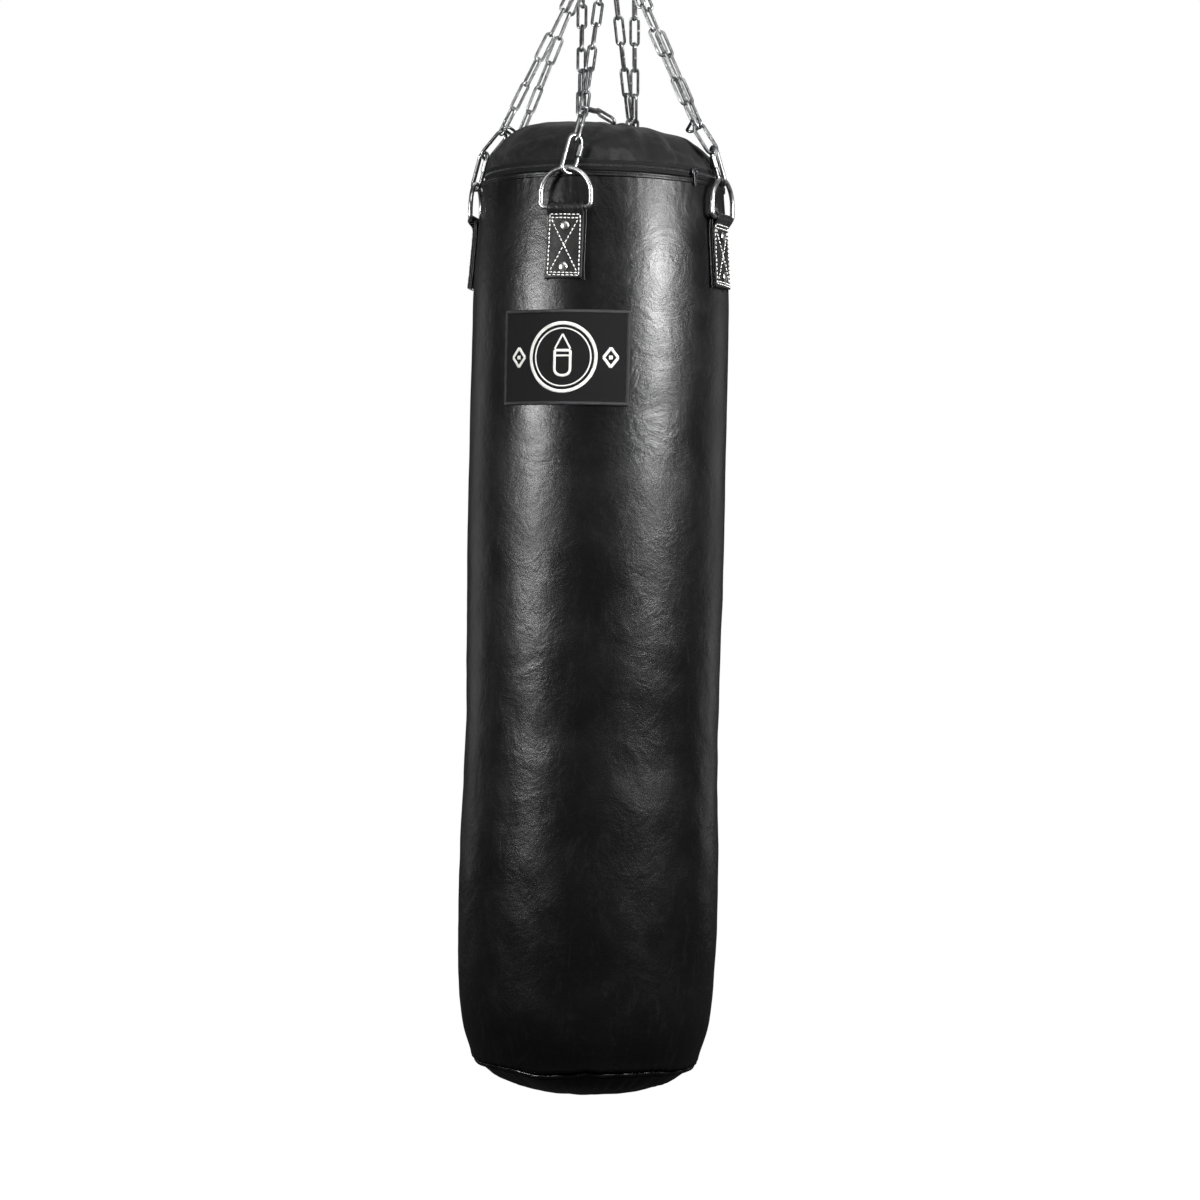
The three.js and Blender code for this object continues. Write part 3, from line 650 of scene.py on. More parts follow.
def swivel():
    top = Solid()
    eye = arc(UP * -13, X_AXIS, UP, 17.5, 0, 360, 65)[:-1]
    top.tube(eye, 4.5, closed=True, sides=20, guide=Y_AXIS)
    top.grid(lathe_rows([(0.01, -31), (6, -31), (9, -32.2), (12.6, -34.2), (14.6, -37), (15, -40), (15, -44),
                         (14.5, -44.6), (14.5, -45.6), (15, -46.2), (15, -60.6), (14.4, -62), (10.8, -62),
                         (10.8, -38), (0.01, -38)]), caps=True)
    top.finish("swivel_body_forging", "steel", "swivel_housing", "swivel_body")
    low = Solid()
    eye = arc(UP * -86, Y_AXIS, UP, 16.5, 0, 360, 65)[:-1]
    low.tube(eye, 4.5, closed=True, sides=20, guide=X_AXIS)
    low.grid(lathe_rows([(0.01, -73), (6.2, -71.5), (6.4, -69), (5.4, -66.5), (5, -64), (5, -51), (9.2, -51),
                         (9.5, -50.4), (9.5, -44.6), (9.2, -44), (0.01, -44)], 40), caps=True)
    low.finish("swivel_lower_eye", "steel", "swivel_spindle", "spindle")
    collar = Solid()
    rows = lathe_rows([(5.6, -61.4), (6.0, -61.8), (10.0, -61.8), (10.4, -61.4), (10.4, -54.8), (5.6, -54.8)], 48)
    collar.grid(rows, wrap_rows=True)
    collar.finish("swivel_collar", "steel", "swivel_retaining_collar", "swivel_body")
    washer = Solid()
    washer.grid(lathe_rows([(5.5, -54.4), (9.8, -54.4), (9.8, -51.4), (5.5, -51.4)], 48), wrap_rows=True)
    for angle in circle(12):
        ball = Vector((7.6 * cos(angle), 7.6 * sin(angle), -52.9))
        bands = [(1.3 * sin(t), 1.3 * cos(t)) for t in (0.4, 1.2, 1.9, 2.7)]
        washer.grid([[ball + point for point in row] for row in lathe_rows(bands, 8)], caps=True)
    washer.finish("swivel_bearing", "steel", "swivel_thrust_washer", "swivel_body")


def delta_ring():
    corner, half, pivot = 13, 26, -106.6
    low = BAR_Z + corner
    slope = degrees(atan2(half, pivot - low))
    points = []
    for centre, start, end in (((half, low), -90, slope), ((0, pivot), slope, 180 - slope),
                               ((-half, low), 180 - slope, 270)):
        points += arc(Vector((centre[0], 0, centre[1])), X_AXIS, UP, corner, start, end, 14)
    points += [Vector((-half, 0, BAR_Z)).lerp(Vector((half, 0, BAR_Z)), i / 10) for i in range(1, 10)]
    ring = Solid()
    ring.tube(points, DELTA_WIRE, closed=True, sides=20, guide=Y_AXIS)
    bead = [Vector((2.6 * (i / 4 - 1), 0, BAR_Z)) for i in range(9)]
    ring.tube(bead, lambda f: DELTA_WIRE * (1 + 0.08 * sin(pi * f) ** 2), sides=20, guide=Y_AXIS)
    ring.finish("triangular_ring", "steel", "delta_ring", "triangle_ring")


# ---- the bag: shell, liner, filling and bottom
SHELL_PROFILE = [(12.4, 168.4), (27, 170.3), (55, 172.5), (90, 175.1), (125, 177.7), (160, 179.6), (300, 180),
                 (450, 180), (520, 179.7), (587, 179), (657, 178.2), (762, 176.6), (832, 178), (902, 180.3),
                 (960, 181.8), (1007, 181.8), (1077, 180.6), (1125, 178.9), (1147, 177.9), (1170, 174.9),
                 (1186, 171.6), (1203, 166.2), (1215, 161.4), (1226, 157.6)]
SHELL_TOP, SHELL_END = SHELL_PROFILE[0][0], SHELL_PROFILE[-1][0]
SHELL_WALL = 3
STEPS_ROUND = 288


def radius_at(depth):
    """The shell's outside radius at a depth below the zip line."""
    last = SHELL_PROFILE[0]
    for row in SHELL_PROFILE[1:]:
        if depth <= row[0]:
            break
        last = row
    t = (depth - last[0]) / (row[0] - last[0])
    return last[1] + (row[1] - last[1]) * t


def smooth_radius(depth):
    """The outline with its corners rounded off."""
    reach = 8 + 16 * max(0, 1 - abs(depth - 155) / 120)
    samples = [radius_at(min(SHELL_END, max(SHELL_TOP, depth + s * reach))) for s in (-2, -1, 0, 1, 2)]
    return sum(w * r for w, r in zip((0.12, 0.22, 0.32, 0.22, 0.12), samples))


def spot(angle, depth, stretch=1.0):
    """A place for noise on the bag's side, the same at both ends of a full turn."""
    return Vector((sin(angle) * 1.8, -cos(angle) * 1.8, depth / 100 * stretch))


def fade(value, inner, outer):
    """1 up to inner, 0 from outer, smooth between."""
    t = min(1, max(0, (outer - value) / (outer - inner)))
    return t * t * (3 - 2 * t)


def held_flat(angle, depth):
    """How far the leather is held flat, under the label and the tabs."""
    def off(azimuth):
        turn = angle - radians(azimuth)
        return abs(atan2(sin(turn), cos(turn)))
    tab = max(fade(off(spec["azimuth"]), 0.17, 0.34) for spec in LEGS.values()) * fade(abs(depth - 104), 58, 110)
    return max(tab, fade(off(0), 0.54, 0.74) * fade(abs(depth - 260), 72, 110))


def seam_wave(angle):
    """How far the bottom seam rises, in millimetres."""
    turn = atan2(sin(angle - 0.3), cos(angle - 0.3))
    return 5.5 * noise.noise(spot(angle, 1230) * 1.5) + 3.2 * exp(-(turn / 0.09) ** 2) - 0.6


def dents(angle, depth):
    """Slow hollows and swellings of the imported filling, in millimetres."""
    place = spot(angle, depth)
    slow = noise.noise(place * 0.8 + Vector((3.1, 0, 0)))
    knocks = noise.noise(place * 2.3 + Vector((0, 5.7, 0)))
    lumps = noise.noise(place * 5.5 + Vector((0, 0, 9.2)))
    low = min(1, max(0, (depth - 420) / 500))
    ease = min(1, (depth - 12) / 60) * min(1, max(0.15, (SHELL_END - depth) / 60))
    patch = 1 - 0.88 * held_flat(angle, depth)
    return (slow * 0.9 + knocks * (0.35 + 0.75 * low) + lumps * (0.10 + 0.22 * low)) * ease * patch - 0.25


def puckers(angle, depth):
    """Gathers under the rim and above the bottom seam."""
    near_top = exp(-max(0, depth - 16) / 16)
    near_seam = exp(-max(0, SHELL_END - depth) / 15)
    wander = noise.noise(spot(angle, depth, 0.4) * 3.0)
    top = sin(angle * 74 + wander * 5) * (0.5 + noise.noise(spot(angle, 0) * 4)) * 0.5
    seam = sin(angle * 58 + wander * 6) * (0.6 + noise.noise(spot(angle, 500) * 4)) * 1.0
    return top * near_top + seam * near_seam


def leather_shell():
    depths = [12.4 + i * 3.4 for i in range(15)]
    depths += [62 + i * 10.4 for i in range(105)]
    depths += [1156 + i * 5.0 for i in range(15)]
    rows = []
    for depth in depths:
        base, row = smooth_radius(depth), []
        for angle in circle(STEPS_ROUND):
            wave = dents(angle, depth) + puckers(angle, depth)
            lift = UP * (ZIP_Z - depth + seam_wave(angle) * max(0, (depth - 1140) / 86) ** 2)
            aim = outward(angle)
            row.append((aim * (base + wave) + lift, aim * (base + wave * 0.7 - SHELL_WALL) + lift))
        rows.append(row)
    outer, inner = split_pairs(rows)
    shell = Solid()
    shell.grid(outer + inner[::-1], wrap_rows=True)
    piece = shell.finish("shell_leather", "leather", "leather_shell")


def soft_core(name, slot, node, rows, coarse):
    """A lathed soft body with an uneven surface; rows are (radius, depth)."""
    rings = []
    for radius, depth in rows:
        unevenness, ring = min(1.2, radius * 0.02), []
        for angle in circle(96):
            bump = noise.noise(spot(angle, depth) * coarse) * unevenness
            ring.append(outward(angle) * (radius + bump - 0.6) + UP * (ZIP_Z - depth))
        rings.append(ring)
    body = Solid()
    wrap = rows[0][0] > 100
    body.grid(rings, wrap_rows=wrap, caps=not wrap)
    piece = body.finish(name, slot, node)


def liner_and_filling():
    depths = [20 + i * 23 for i in range(53)]
    liner_in = SHELL_WALL + 2.6
    rows = [(smooth_radius(d) - liner_in, d) for d in depths]
    rows += [(smooth_radius(d) - liner_in - 19, d) for d in reversed(depths)]
    soft_core("foam_lining", "foam", "foam_liner", rows, 1.4)
    core = liner_in + 20.8
    top = [(1, 2), (60, 1.5), (120, 2), (141, 4)]
    side = [(smooth_radius(d) - core, d) for d in depths[:-1]]
    low = [(132, 1216), (117, 1240), (90, 1252), (50, 1260), (1, 1264)]
    soft_core("rag_filling", "filling", "textile_filling", top + side + low, 4.5)


def round_ring(ring, radius, depth, wire, count, sides, wave=lambda angle: 0, rise=lambda angle: 0):
    """Adds a round bar that runs round the bag, wavering sideways and up."""
    points = [outward(a) * (radius + wave(a)) + UP * (ZIP_Z - depth + rise(a)) for a in circle(count)]
    ring.tube(points, wire, closed=True, sides=sides, guide=UP)


BOTTOM_PROFILE = [(0.8, 1275), (20, 1274.6), (40, 1273.4), (60, 1271), (76, 1268.4), (92, 1265), (106, 1260),
                  (120, 1254), (130, 1247.6), (139, 1240.6), (144, 1236.6), (146.5, 1234.6)]
SEAM_RADIUS, SEAM_DEPTH, SEAM_WIRE = 151.6, 1230.2, 3.3


def bottom():
    """The sagging round bottom, gathered into its piped seam."""
    rows = []
    for radius, depth in BOTTOM_PROFILE:
        near, row = min(1, max(0, (radius - 96) / 50)), []
        for angle in circle(240):
            gather = noise.noise(spot(angle, 1260) * 2.2)
            fold = sin(angle * 44 + 5 * gather) * (0.7 + gather) * 4.5 * near * (1.02 - near)
            slack = noise.noise(Vector((sin(angle), cos(angle), 2)) * radius / 38) * 2.4 * min(1, radius / 30)
            lift = max(-1.6, fold + slack * (1 - near * 0.9)) + seam_wave(angle) * near
            aim = outward(angle) * radius
            row.append((aim + UP * (ZIP_Z - depth + lift), aim * 0.985 + UP * (ZIP_Z - depth + 3.1 + lift * 0.8)))
        rows.append(row)
    outer, inner = split_pairs(rows)
    panel = Solid()
    panel.grid(outer + inner[::-1], caps=True)
    panel.finish("bottom_leather", "leather", "bottom_panel")
    seam = Solid()
    round_ring(seam, SEAM_RADIUS, SEAM_DEPTH, SEAM_WIRE, 720, 10,
               lambda a: 0.5 * sin(a * 31) + 0.5 * noise.noise(spot(a, 0) * 5), seam_wave)
    for k in range(150):
        angle = tau * (k + 0.3 * random.random()) / 150
        aim = outward(angle)
        turn = Vector((cos(angle), sin(angle), 0))
        centre = aim * SEAM_RADIUS + UP * (ZIP_Z - SEAM_DEPTH + seam_wave(angle))
        pinch = arc(centre, aim + turn * 0.12, -UP, SEAM_WIRE + 0.05, -80, 110, 7)
        seam.tube(pinch, 0.42, sides=5)
    seam.finish("bottom_welt", "leather", "bottom_piping")


def rim_waver(angle):
    """How far the rim's binding and its sewing waver, outward and up."""
    return noise.noise(spot(angle, 0) * 7) * 0.5, noise.noise(spot(angle, 40) * 2.5) * 0.5


def rim_binding():
    profile = [(164.4, -7.4), (167.4, -7.2), (169.6, -7.6), (170.6, -8.8), (170.7, -10.4), (169.9, -11.4),
               (170.3, -12.4), (170.7, -13.8), (169.8, -15.0), (167.6, -15.5), (164.4, -15.3)]
    rows = []
    for radius, height in profile:
        row = []
        for angle in circle(STEPS_ROUND):
            wave, drop = rim_waver(angle)
            row.append(outward(angle) * (radius + (wave if radius > 166 else 0)) + UP * (ZIP_Z + height + drop))
        rows.append(row)
    rim = Solid()
    rim.grid(rows, wrap_rows=True)
    rim.finish("rim_binding", "leather", "top_rim_binding")
    sewing = Solid()
    count = 236
    for k in range(count):
        low, high = (tau * (k + s) / count for s in (0.12, 0.82))
        points = []
        for i in range(5):
            angle = low + (high - low) * i / 4
            wave, drop = rim_waver(angle)
            radius = 170.0 + wave + 0.35 * sin(pi * i / 4)
            points.append(outward(angle) * radius + UP * (ZIP_Z - 11.4 + drop))
        sewing.tube(points, 0.32, sides=6)
    sewing.finish("rim_stitching", "leather", look="black_thread")


# ---- zip round the lid
def zip_fastener():
    tape = Solid()
    tape.grid(lathe_rows([(163.6, ZIP_Z - 6.5), (165.1, ZIP_Z - 6.5), (165.3, ZIP_Z - 5.9), (165.3, ZIP_Z + 6.9),
                          (165.1, ZIP_Z + 7.5), (163.6, ZIP_Z + 7.5)], STEPS_ROUND), wrap_rows=True)
    for height, wire in ((-5.3, 0.8), (-2.9, 0.6), (3.4, 0.6), (6.1, 0.65)):
        round_ring(tape, 165.2, -height, wire, 360, 8)
    tape.finish("zip_tape_cloth", "zip_cloth", "zip_tape")
    teeth = Solid()
    turns, steps = 620, 9
    points = []
    for i in range(turns * steps):
        angle = tau * i / (turns * steps)
        roll = tau * i / steps
        aim = outward(angle)
        points.append(aim * (165.45 + 0.75 * cos(roll)) + UP * (ZIP_Z + 0.4 + 1.7 * sin(roll)))
    teeth.tube(points, 0.34, closed=True, sides=5)
    teeth.finish("zip_coil", "zip_cloth", look="coil")


def zip_slider():
    leg = Leg(63)
    inner, depth = 167.0, 4.4
    outline = [(-5.9, 0), (-5.2, 3.4), (-3.2, 4.4), (3.6, 4.0), (5.9, 2.6), (5.9, -2.6), (3.6, -4.0),
               (-3.2, -4.4), (-5.2, -3.4)]
    body = Solid()
    rows = []
    for shrink, out in ((0.9, 0), (1, 0.4), (1, 1.5), (0.84, 1.8), (0.84, 2.6), (1, 2.9), (1, depth - 0.5),
                        (0.9, depth)):
        rows.append([leg.point(x * shrink, inner + out, 0.5 + z * shrink) for x, z in outline])
    body.grid(rows, caps=True)
    body.tube(arc(leg.point(0, 171.4, 0.5), UP, leg.out, 2.9, 0, 180, 15), 0.75, sides=10, guide=leg.side)
    body.finish("slider_body", "nickel", "zip_slider", "slider", look="gunmetal", bevel=0.25)
    outline, hole = [], []
    for angle in circle(48):
        sideways, up = sin(angle), cos(angle)
        half = 3.3 + 0.7 * (1 - up) / 2
        square = 1 / max(abs(sideways), abs(up)) if up > 0 else 1
        tall = 3.1 if up > 0 else 17
        outline.append((half * max(-1, min(1, sideways * square)), -2.8 + tall * max(-1, min(1, up * square))))
        hole.append((1.95 * sideways, -2.8 + 1.95 * up))
    place = lambda points: [leg.point(x, 172.1, 0.4 + z) for x, z in points]
    tab = Solid()
    tab.plate(place(outline), place(hole), leg.out * 0.95)
    rim = [leg.point(2.1 * sin(t), 173.0, -13.0 + 4.2 * cos(t)) for t in circle(24)]
    tab.tube(rim, 0.35, closed=True, sides=8, guide=leg.out)
    tab.finish("slider_pull", "nickel", "zip_pull", "pull", look="gunmetal", bevel=0.2)


# ---- the lid
LID_HIGH = [(0, 82), (30, 79.5), (60, 75.5), (90, 71), (112, 65.5), (124, 59.5), (134, 51.5), (143, 42), (151, 32.5),
            (157, 24.5), (161.5, 17), (164, 12), (164.3, 8.5), (163.6, 5)]
LID_LOW = [(0, 82), (30, 75.5), (56, 66), (84, 58.5), (108, 52.5), (124, 46.5), (134, 40), (143, 32.5), (151, 25.5),
           (157, 19.5), (161.5, 14.5), (164, 11), (164.3, 8), (163.6, 5)]
LID_SEGMENTS = 180
LID_FOLDS = [(-96, 1.0, 20), (-58, 1.3, 15), (-22, 0.9, 18), (14, 1.5, 13), (33, 3.0, 8), (50, 2.4, 8), (79, 2.4, 14),
             (112, 1.4, 14), (148, 1.6, 18), (171, 1.2, 12), (-162, 1.7, 16), (-128, 1.3, 14)]


def lid_form(share, angle):
    """A point of the lid's top: share 0 is the middle and 1 the edge sewn to the zip."""
    place = share * (len(LID_HIGH) - 1)
    k = min(int(place), len(LID_HIGH) - 2)
    t = place - k
    radius, high = (LID_HIGH[k][n] * (1 - t) + LID_HIGH[k + 1][n] * t for n in (0, 1))
    low_radius, low = (LID_LOW[k][n] * (1 - t) + LID_LOW[k + 1][n] * t for n in (0, 1))
    bearing = degrees(angle)
    share_high = 0.5 + 0.5 * cos(radians(bearing + 74))
    radius = low_radius + (radius - low_radius) * share_high
    height = low + (high - low) * share_high
    mid = min(1, radius / 60) * min(1, max(0, height - 5) / 14)
    for azimuth, size, width in LID_FOLDS:
        off = (bearing - azimuth + 180) % 360 - 180
        height += size * 1.5 * mid * exp(-(off / width * 2.4) ** 2) * (1 if off > 0 else 0.8)
        height -= size * 0.8 * mid * exp(-((off - width * 0.7) / width * 3) ** 2)
    aim = outward(angle)
    slack = noise.noise(Vector((aim.x * radius / 42, aim.y * radius / 42, 4.4)))
    return aim * radius + UP * (ZIP_Z + height + slack * 3.0 * mid)


LID_FRAMES = 20
LID_MOVE_CAP = 4
LID_CLOTH = {"quality": 6, "mass": 0.4, "tension_stiffness": 40, "compression_stiffness": 25, "shear_stiffness": 12,
             "bending_stiffness": 0.6, "use_pressure": True, "uniform_pressure_force": 4, "shrink_min": -0.035,
             "vertex_group_mass": "held"}


def simulate_lid(piece, pinned):
    """Blows the lid up with air pressure, its edge held, so that the cloth gathers."""
    start = [v.co.copy() for v in piece.data.vertices]
    piece.vertex_groups.new(name="held").add(pinned, 1.0, "REPLACE")
    cloth = piece.modifiers.new("cloth", "CLOTH")
    for key, value in LID_CLOTH.items():
        setattr(cloth.settings, key, value)
    cloth.settings.effector_weights.gravity = 0
    cloth.collision_settings.use_collision = False
    cloth.point_cache.frame_start = 1
    cloth.point_cache.frame_end = LID_FRAMES
    scene = bpy.context.scene
    for step in range(1, LID_FRAMES + 1):
        scene.frame_set(step)
    graph = bpy.context.evaluated_depsgraph_get()
    shaped = [v.co.copy() for v in piece.evaluated_get(graph).data.vertices]
    piece.modifiers.remove(cloth)
    scene.frame_set(1)
    cap = LID_MOVE_CAP * MM
    for vertex, before, after in zip(piece.data.vertices, start, shaped):
        move = after - before
        if move.length > cap:
            move = move.normalized() * cap
        vertex.co = before + move


def lid():
    rings = 34
    verts, faces = [UP * (ZIP_Z + LID_HIGH[0][1])], []
    for i in range(1, rings + 1):
        verts += [lid_form(i / rings, angle) for angle in circle(LID_SEGMENTS)]
    edge = len(verts)
    for radius, height in ((162.4, 1.2), (150, 0.9), (80, 0.9)):
        verts += [Vector((sin(a) * radius, -cos(a) * radius, ZIP_Z + height)) for a in circle(LID_SEGMENTS)]
    ring_count = rings + 3
    for j in range(LID_SEGMENTS):
        k = (j + 1) % LID_SEGMENTS
        faces.append((0, 1 + j, 1 + k))
        for i in range(ring_count - 1):
            a, b = 1 + i * LID_SEGMENTS, 1 + (i + 1) * LID_SEGMENTS
            faces.append((a + j, b + j, b + k, a + k))
    last = 1 + (ring_count - 1) * LID_SEGMENTS
    faces.append(tuple(last + j for j in range(LID_SEGMENTS)))
    piece = mesh_object("lid_nubuck_cover", verts, faces, "suede")
    pinned = list(range(edge - LID_SEGMENTS, len(verts)))
    simulate_lid(piece, pinned)
    finer = piece.modifiers.new("finer", "SUBSURF")
    finer.levels = finer.render_levels = 1
    finish_piece(piece, "lid_cover")
    hem = Solid()
    round_ring(hem, 164.0, -8.4, 1.15, 540, 8, lambda a: 0.5 * noise.noise(spot(a, 0) * 6))
    hem.finish("lid_hem", "suede")


# ---- tabs: strap, backing, stitches and rivets
TAB_SLOPE = atan2(7.4, 100)
TAB_HALF = 25
STRAP_WRAP = 4.85                              # from the ring's bar to the strap's middle layer
STRAP_HALF = 1.15                              # half the strap's thickness
STITCH_PITCH = 5.9
STITCH_THREAD = 0.82
STITCH_RUNS = [                                # the box, its doubled ends and the cross
    [(-21.6, -9.7), (20.8, -10.6), (21.6, -93.2), (-22.4, -91.9), (-21.6, -9.7)],
    [(-20.2, -14.2), (18.6, -15.0)],
    [(-20.0, -88.4), (19.6, -89.6)],
    [(-19.4, -16.6), (18.6, -87.4)],
    [(17.6, -17.4), (-18.8, -86.2)],
]
RIVET_HEIGHTS = (-83, -139)
RIVET_DOME = [(0.01, -11), (2, -11), (2, 0), (6.0, 0), (6.5, 0.3), (6.45, 0.9), (5.8, 1.6), (4.7, 2.25), (3.2, 2.75),
              (1.6, 3.02), (0.01, 3.1)]


class Tab:
    """A tab's own frame: X sideways, out from the bag and up from the ring's bar, leaning with the bag's side."""

    def __init__(self, name):
        self.leg = Leg(LEGS[name]["azimuth"])
        self.turn = Matrix.Rotation(-TAB_SLOPE, 3, "X")

    def point(self, x, out, z):
        hug = min(1, max(0, (-z - 3) / 18)) * x * x / 364
        local = self.turn @ Vector((x, hug - out, z))
        return place_local([local], self.leg, *RING_BAR)[0]


def strap_skin(tab, z_or_turn, kind, x, offset):
    """A point at an offset from the strap's middle layer: behind the bar, over it, or in front."""
    if kind == "back":
        return tab.point(x, -STRAP_WRAP - offset, z_or_turn)
    gather = sin(x * 0.62 + 3 * noise.noise(Vector((x * 0.16, tab.leg.angle * 3, 0))))
    if kind == "over":
        angle = radians(z_or_turn)
        radius = STRAP_WRAP + offset + (0.55 * gather * max(0, sin(angle)) if offset > 0 else 0)
        return tab.point(x, -radius * cos(angle), radius * sin(angle))
    ease = fade(-z_or_turn, 14, 1)
    crease = 0
    if offset > 0:
        crease = 0.75 * gather * (1 - min(1, max(0, (-z_or_turn - 2) / 8)) ** 2)
        crease += 0.35 * noise.noise(Vector((x * 0.09, z_or_turn * 0.07, tab.leg.angle * 5))) * ease
    return tab.point(x, STRAP_WRAP - 7.2 * ease + offset + crease, z_or_turn)


def strap(name):
    tab = Tab(name)
    path = [("back", z) for z in (-95.6, -80, -64, -48, -32, -16, -4)]
    path += [("over", turn) for turn in range(0, 181, 15)]
    path += [("front", z) for z in (-1.5, -3, -4.5, -6, -7.5, -9, -10.5, -12, -14, -18)]
    path += [("front", -18 - 3.9 * i) for i in range(1, 21)]
    columns = [-TAB_HALF + i for i in range(2 * TAB_HALF + 1)]
    rows = []
    for kind, place in path:
        narrow = 0.985 if kind == "over" else 1
        rows.append([[strap_skin(tab, place, kind, x * narrow, side) for side in (STRAP_HALF, -STRAP_HALF)]
                     for x in columns])
    band = Solid()
    band.slab(*split_pairs(rows))
    band.finish(f"{name}_strap", "webbing", f"{name}_tab_strap", bevel=0.5, angle=50)

    rows = []
    for z in range(-96, 1, 6):
        low, row = max(0, (-z - 80) / 16), []
        for i in range(29):
            x = (i / 14 - 1) * (TAB_HALF + 2.6 + 1.6 * low * low)
            corner = max(0, abs(x) - 22) / 6 * low
            droop = 1.8 * corner * corner
            fray = 0.25 * noise.noise(Vector((x * 0.3, z * 0.3, tab.leg.angle * 7)))
            out = fray * 0.3 + 0.9 * corner
            row.append([tab.point(x, out - layer, z - droop + fray) for layer in (6.35, 8.2)])
        rows.append(row)
    under = Solid()
    under.slab(*split_pairs(rows))
    under.finish(f"{name}_backing", "leather", f"{name}_tab_backing", bevel=0.4, angle=50)


def even_steps(path, pitch):
    """Steps along straight runs: each one's number, how many its run has, the run's ends and its left side."""
    for a, b in zip(map(Vector, path), map(Vector, path[1:])):
        count = max(1, round((b - a).length / pitch))
        for k in range(count):
            yield k, count, a, b, Vector((a.y - b.y, b.x - a.x)).normalized()


def stitch_line(solid, surface, path):
    """Stitches along straight runs on a surface; surface gives the point at a height over the cloth."""
    for k, count, a, b, _ in even_steps(path, STITCH_PITCH):
        jog = Vector([random.uniform(-0.18, 0.18) for _ in range(2)])
        line = []
        for i in range(6):
            place = a.lerp(b, (k + 0.19 + 0.62 * i / 5) / count) + jog
            line.append(surface(*place, 0.75 * sin(pi * i / 5) - 0.3))
        solid.tube(line, lambda f: STITCH_THREAD * (0.72 + 0.28 * sin(pi * f)), sides=8)


def strap_sewing(name):
    tab = Tab(name)
    front = lambda x, z, lift: strap_skin(tab, z, "front", x, STRAP_HALF) + tab.leg.out * lift
    sewing = Solid()
    for run in STITCH_RUNS:
        stitch_line(sewing, front, run)
    sewing.finish(f"{name}_tab_stitching", "webbing", look="thread")


def rivet(name, index, height):
    leg = Leg(LEGS[name]["azimuth"])
    radius = RING_BAR[0] + (RING_BAR[1] - height) * tan(TAB_SLOPE) + 0.75 - STRAP_HALF
    lean = Matrix.Rotation(-TAB_SLOPE, 3, "X")
    rows = []
    for size, out in RIVET_DOME:
        row = []
        for angle in circle(36):
            hammer = 0.05 * sin(3 * angle + index) if 1 < size < 6 and out > 1 else 0
            row.append(lean @ Vector((size * cos(angle), -out - hammer, size * sin(angle))))
        rows.append(place_local(row, leg, radius, height))
    head = Solid()
    head.grid(rows, caps=True)
    head.finish(f"{name}_rivet_dome_{index}", "nickel", f"{name}_rivet_{index}")


# ---- label
LABEL_SIZE = (182, 127)
LABEL_MIDDLE = -260.5
LABEL_INNER = 180.45
SATIN_PITCH = 0.62
OVERLOCK_PITCH = 1.25
OVERLOCK = [(3.8, -0.1), (2.6, 0.5), (0.8, 0.5), (-0.4, 0.1), (-0.6, -0.7)]    # inset from the edge, lift


def label_point(x, z, lift=0.0):
    """A point over the label's face, x round the bag and z from the label's middle."""
    half_w, half_h = LABEL_SIZE[0] / 2, LABEL_SIZE[1] / 2
    edge = max(abs(x) / half_w, abs(z) / half_h)
    ripple = 0.5 * max(0, edge - 0.86) / 0.14 * (1 + sin(x * 0.23 + z * 0.31))
    radius = LABEL_INNER + 1.35 + 0.12 * noise.noise(Vector((x * 0.04, z * 0.04, 1))) + ripple * 0.6 + lift
    angle = x / 181.5
    return Vector((sin(angle) * radius, -cos(angle) * radius, ZIP_Z + LABEL_MIDDLE + z))


def satin(solid, path, width):
    """Embroidery: threads laid side by side across a line on the label."""
    for k, count, a, b, across in even_steps(path, SATIN_PITCH):
        line = []
        for i in range(5):
            reach = (i / 4 - 0.5) * width * (1 + 0.03 * sin(k * 2.4))
            place = a.lerp(b, (k + 0.5) / count) + across * reach
            line.append(label_point(*place, 0.55 * sin(pi * i / 4) - 0.1))
        solid.tube(line, 0.36, sides=5)


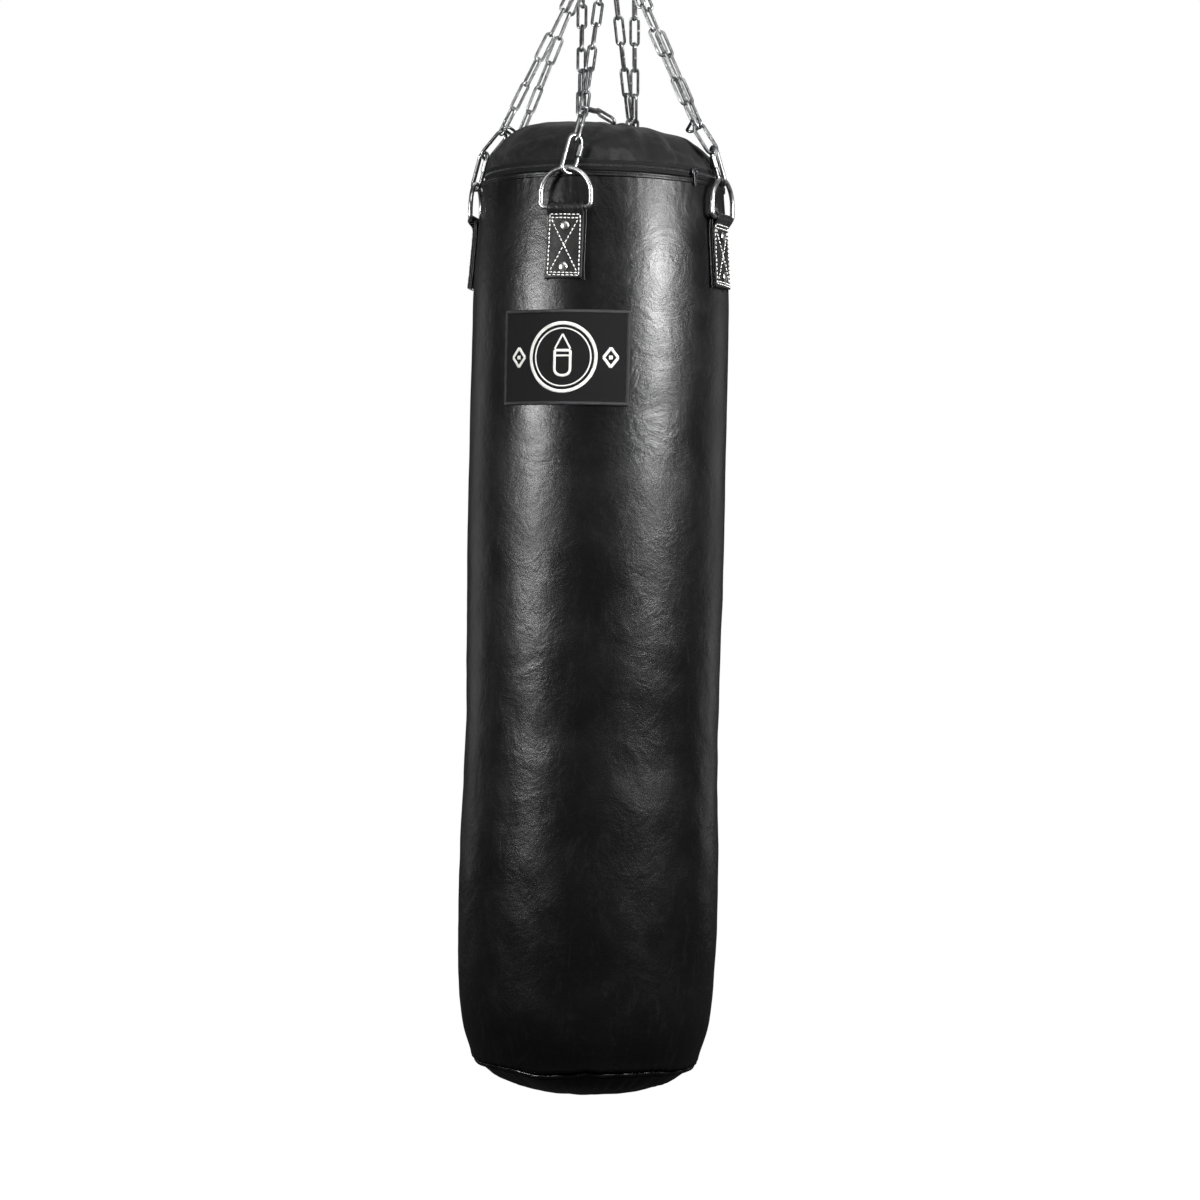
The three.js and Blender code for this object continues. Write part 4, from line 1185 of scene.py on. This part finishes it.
def label():
    columns, rows = 92, 64
    half_w, half_h = LABEL_SIZE[0] / 2, LABEL_SIZE[1] / 2
    across = [-half_w + LABEL_SIZE[0] * j / columns for j in range(columns + 1)]
    down = [half_h - LABEL_SIZE[1] * i / rows for i in range(rows + 1)]
    cloth = Solid()
    cloth.slab(*([[label_point(x, z, lift) for x in across] for z in down] for lift in (0, -1.2)))
    sheet = cloth.finish("label_cloth", "label_cloth", "label_patch", bevel=0.3, angle=50)

    edging = Solid()
    corners = [(-half_w, half_h), (half_w, half_h), (half_w, -half_h), (-half_w, -half_h)]
    for k, count, a, b, out in even_steps(corners + corners[:1], OVERLOCK_PITCH):
        place = a.lerp(b, (k + 0.5) / count)
        edging.tube([label_point(*(place - out * inset), lift) for inset, lift in OVERLOCK], 0.58, sides=6)
    edge = edging.finish("label_overlock", "label_cloth", look="black_thread")

    mark = Solid()
    for size, steps, width in ((46, 72, 4.4), (39, 60, 1.6)):
        satin(mark, [(size * sin(t), size * cos(t)) for t in circle(steps) + [tau]], width)
    bag_mark = [(-11, 9), (11, 9), (11, -17)]
    bag_mark += [(11 * cos(t), -17 - 8 * sin(t)) for t in (i * pi / 8 for i in range(1, 8))]
    satin(mark, bag_mark + [(-11, -17), (-11, 9)], 3.4)
    satin(mark, [(-11, 11), (0, 31), (11, 11)], 2.2)
    satin(mark, [(-9.5, 2), (9.5, 2)], 2.4)
    for side in (-1, 1):
        satin(mark, [(side * x, z) for x, z in ((66, 13), (76, 0), (66, -13), (56, 0), (66, 13))], 3.6)
        satin(mark, [(side * 63.5, 0), (side * 68.5, 0)], 5)
    embroidery = mark.finish("label_embroidery", "label_cloth", look="thread")


# ---- build
make_camera()
make_stage()
swivel()
delta_ring()
leather_shell()
liner_and_filling()
bottom()
rim_binding()
zip_fastener()
zip_slider()
lid()
for leg_name in LEGS:
    leg_hardware(leg_name)
    d_ring(leg_name)
    strap(leg_name)
    strap_sewing(leg_name)
    for rivet_index, rivet_height in enumerate(RIVET_HEIGHTS, 1):
        rivet(leg_name, rivet_index, rivet_height)
label()
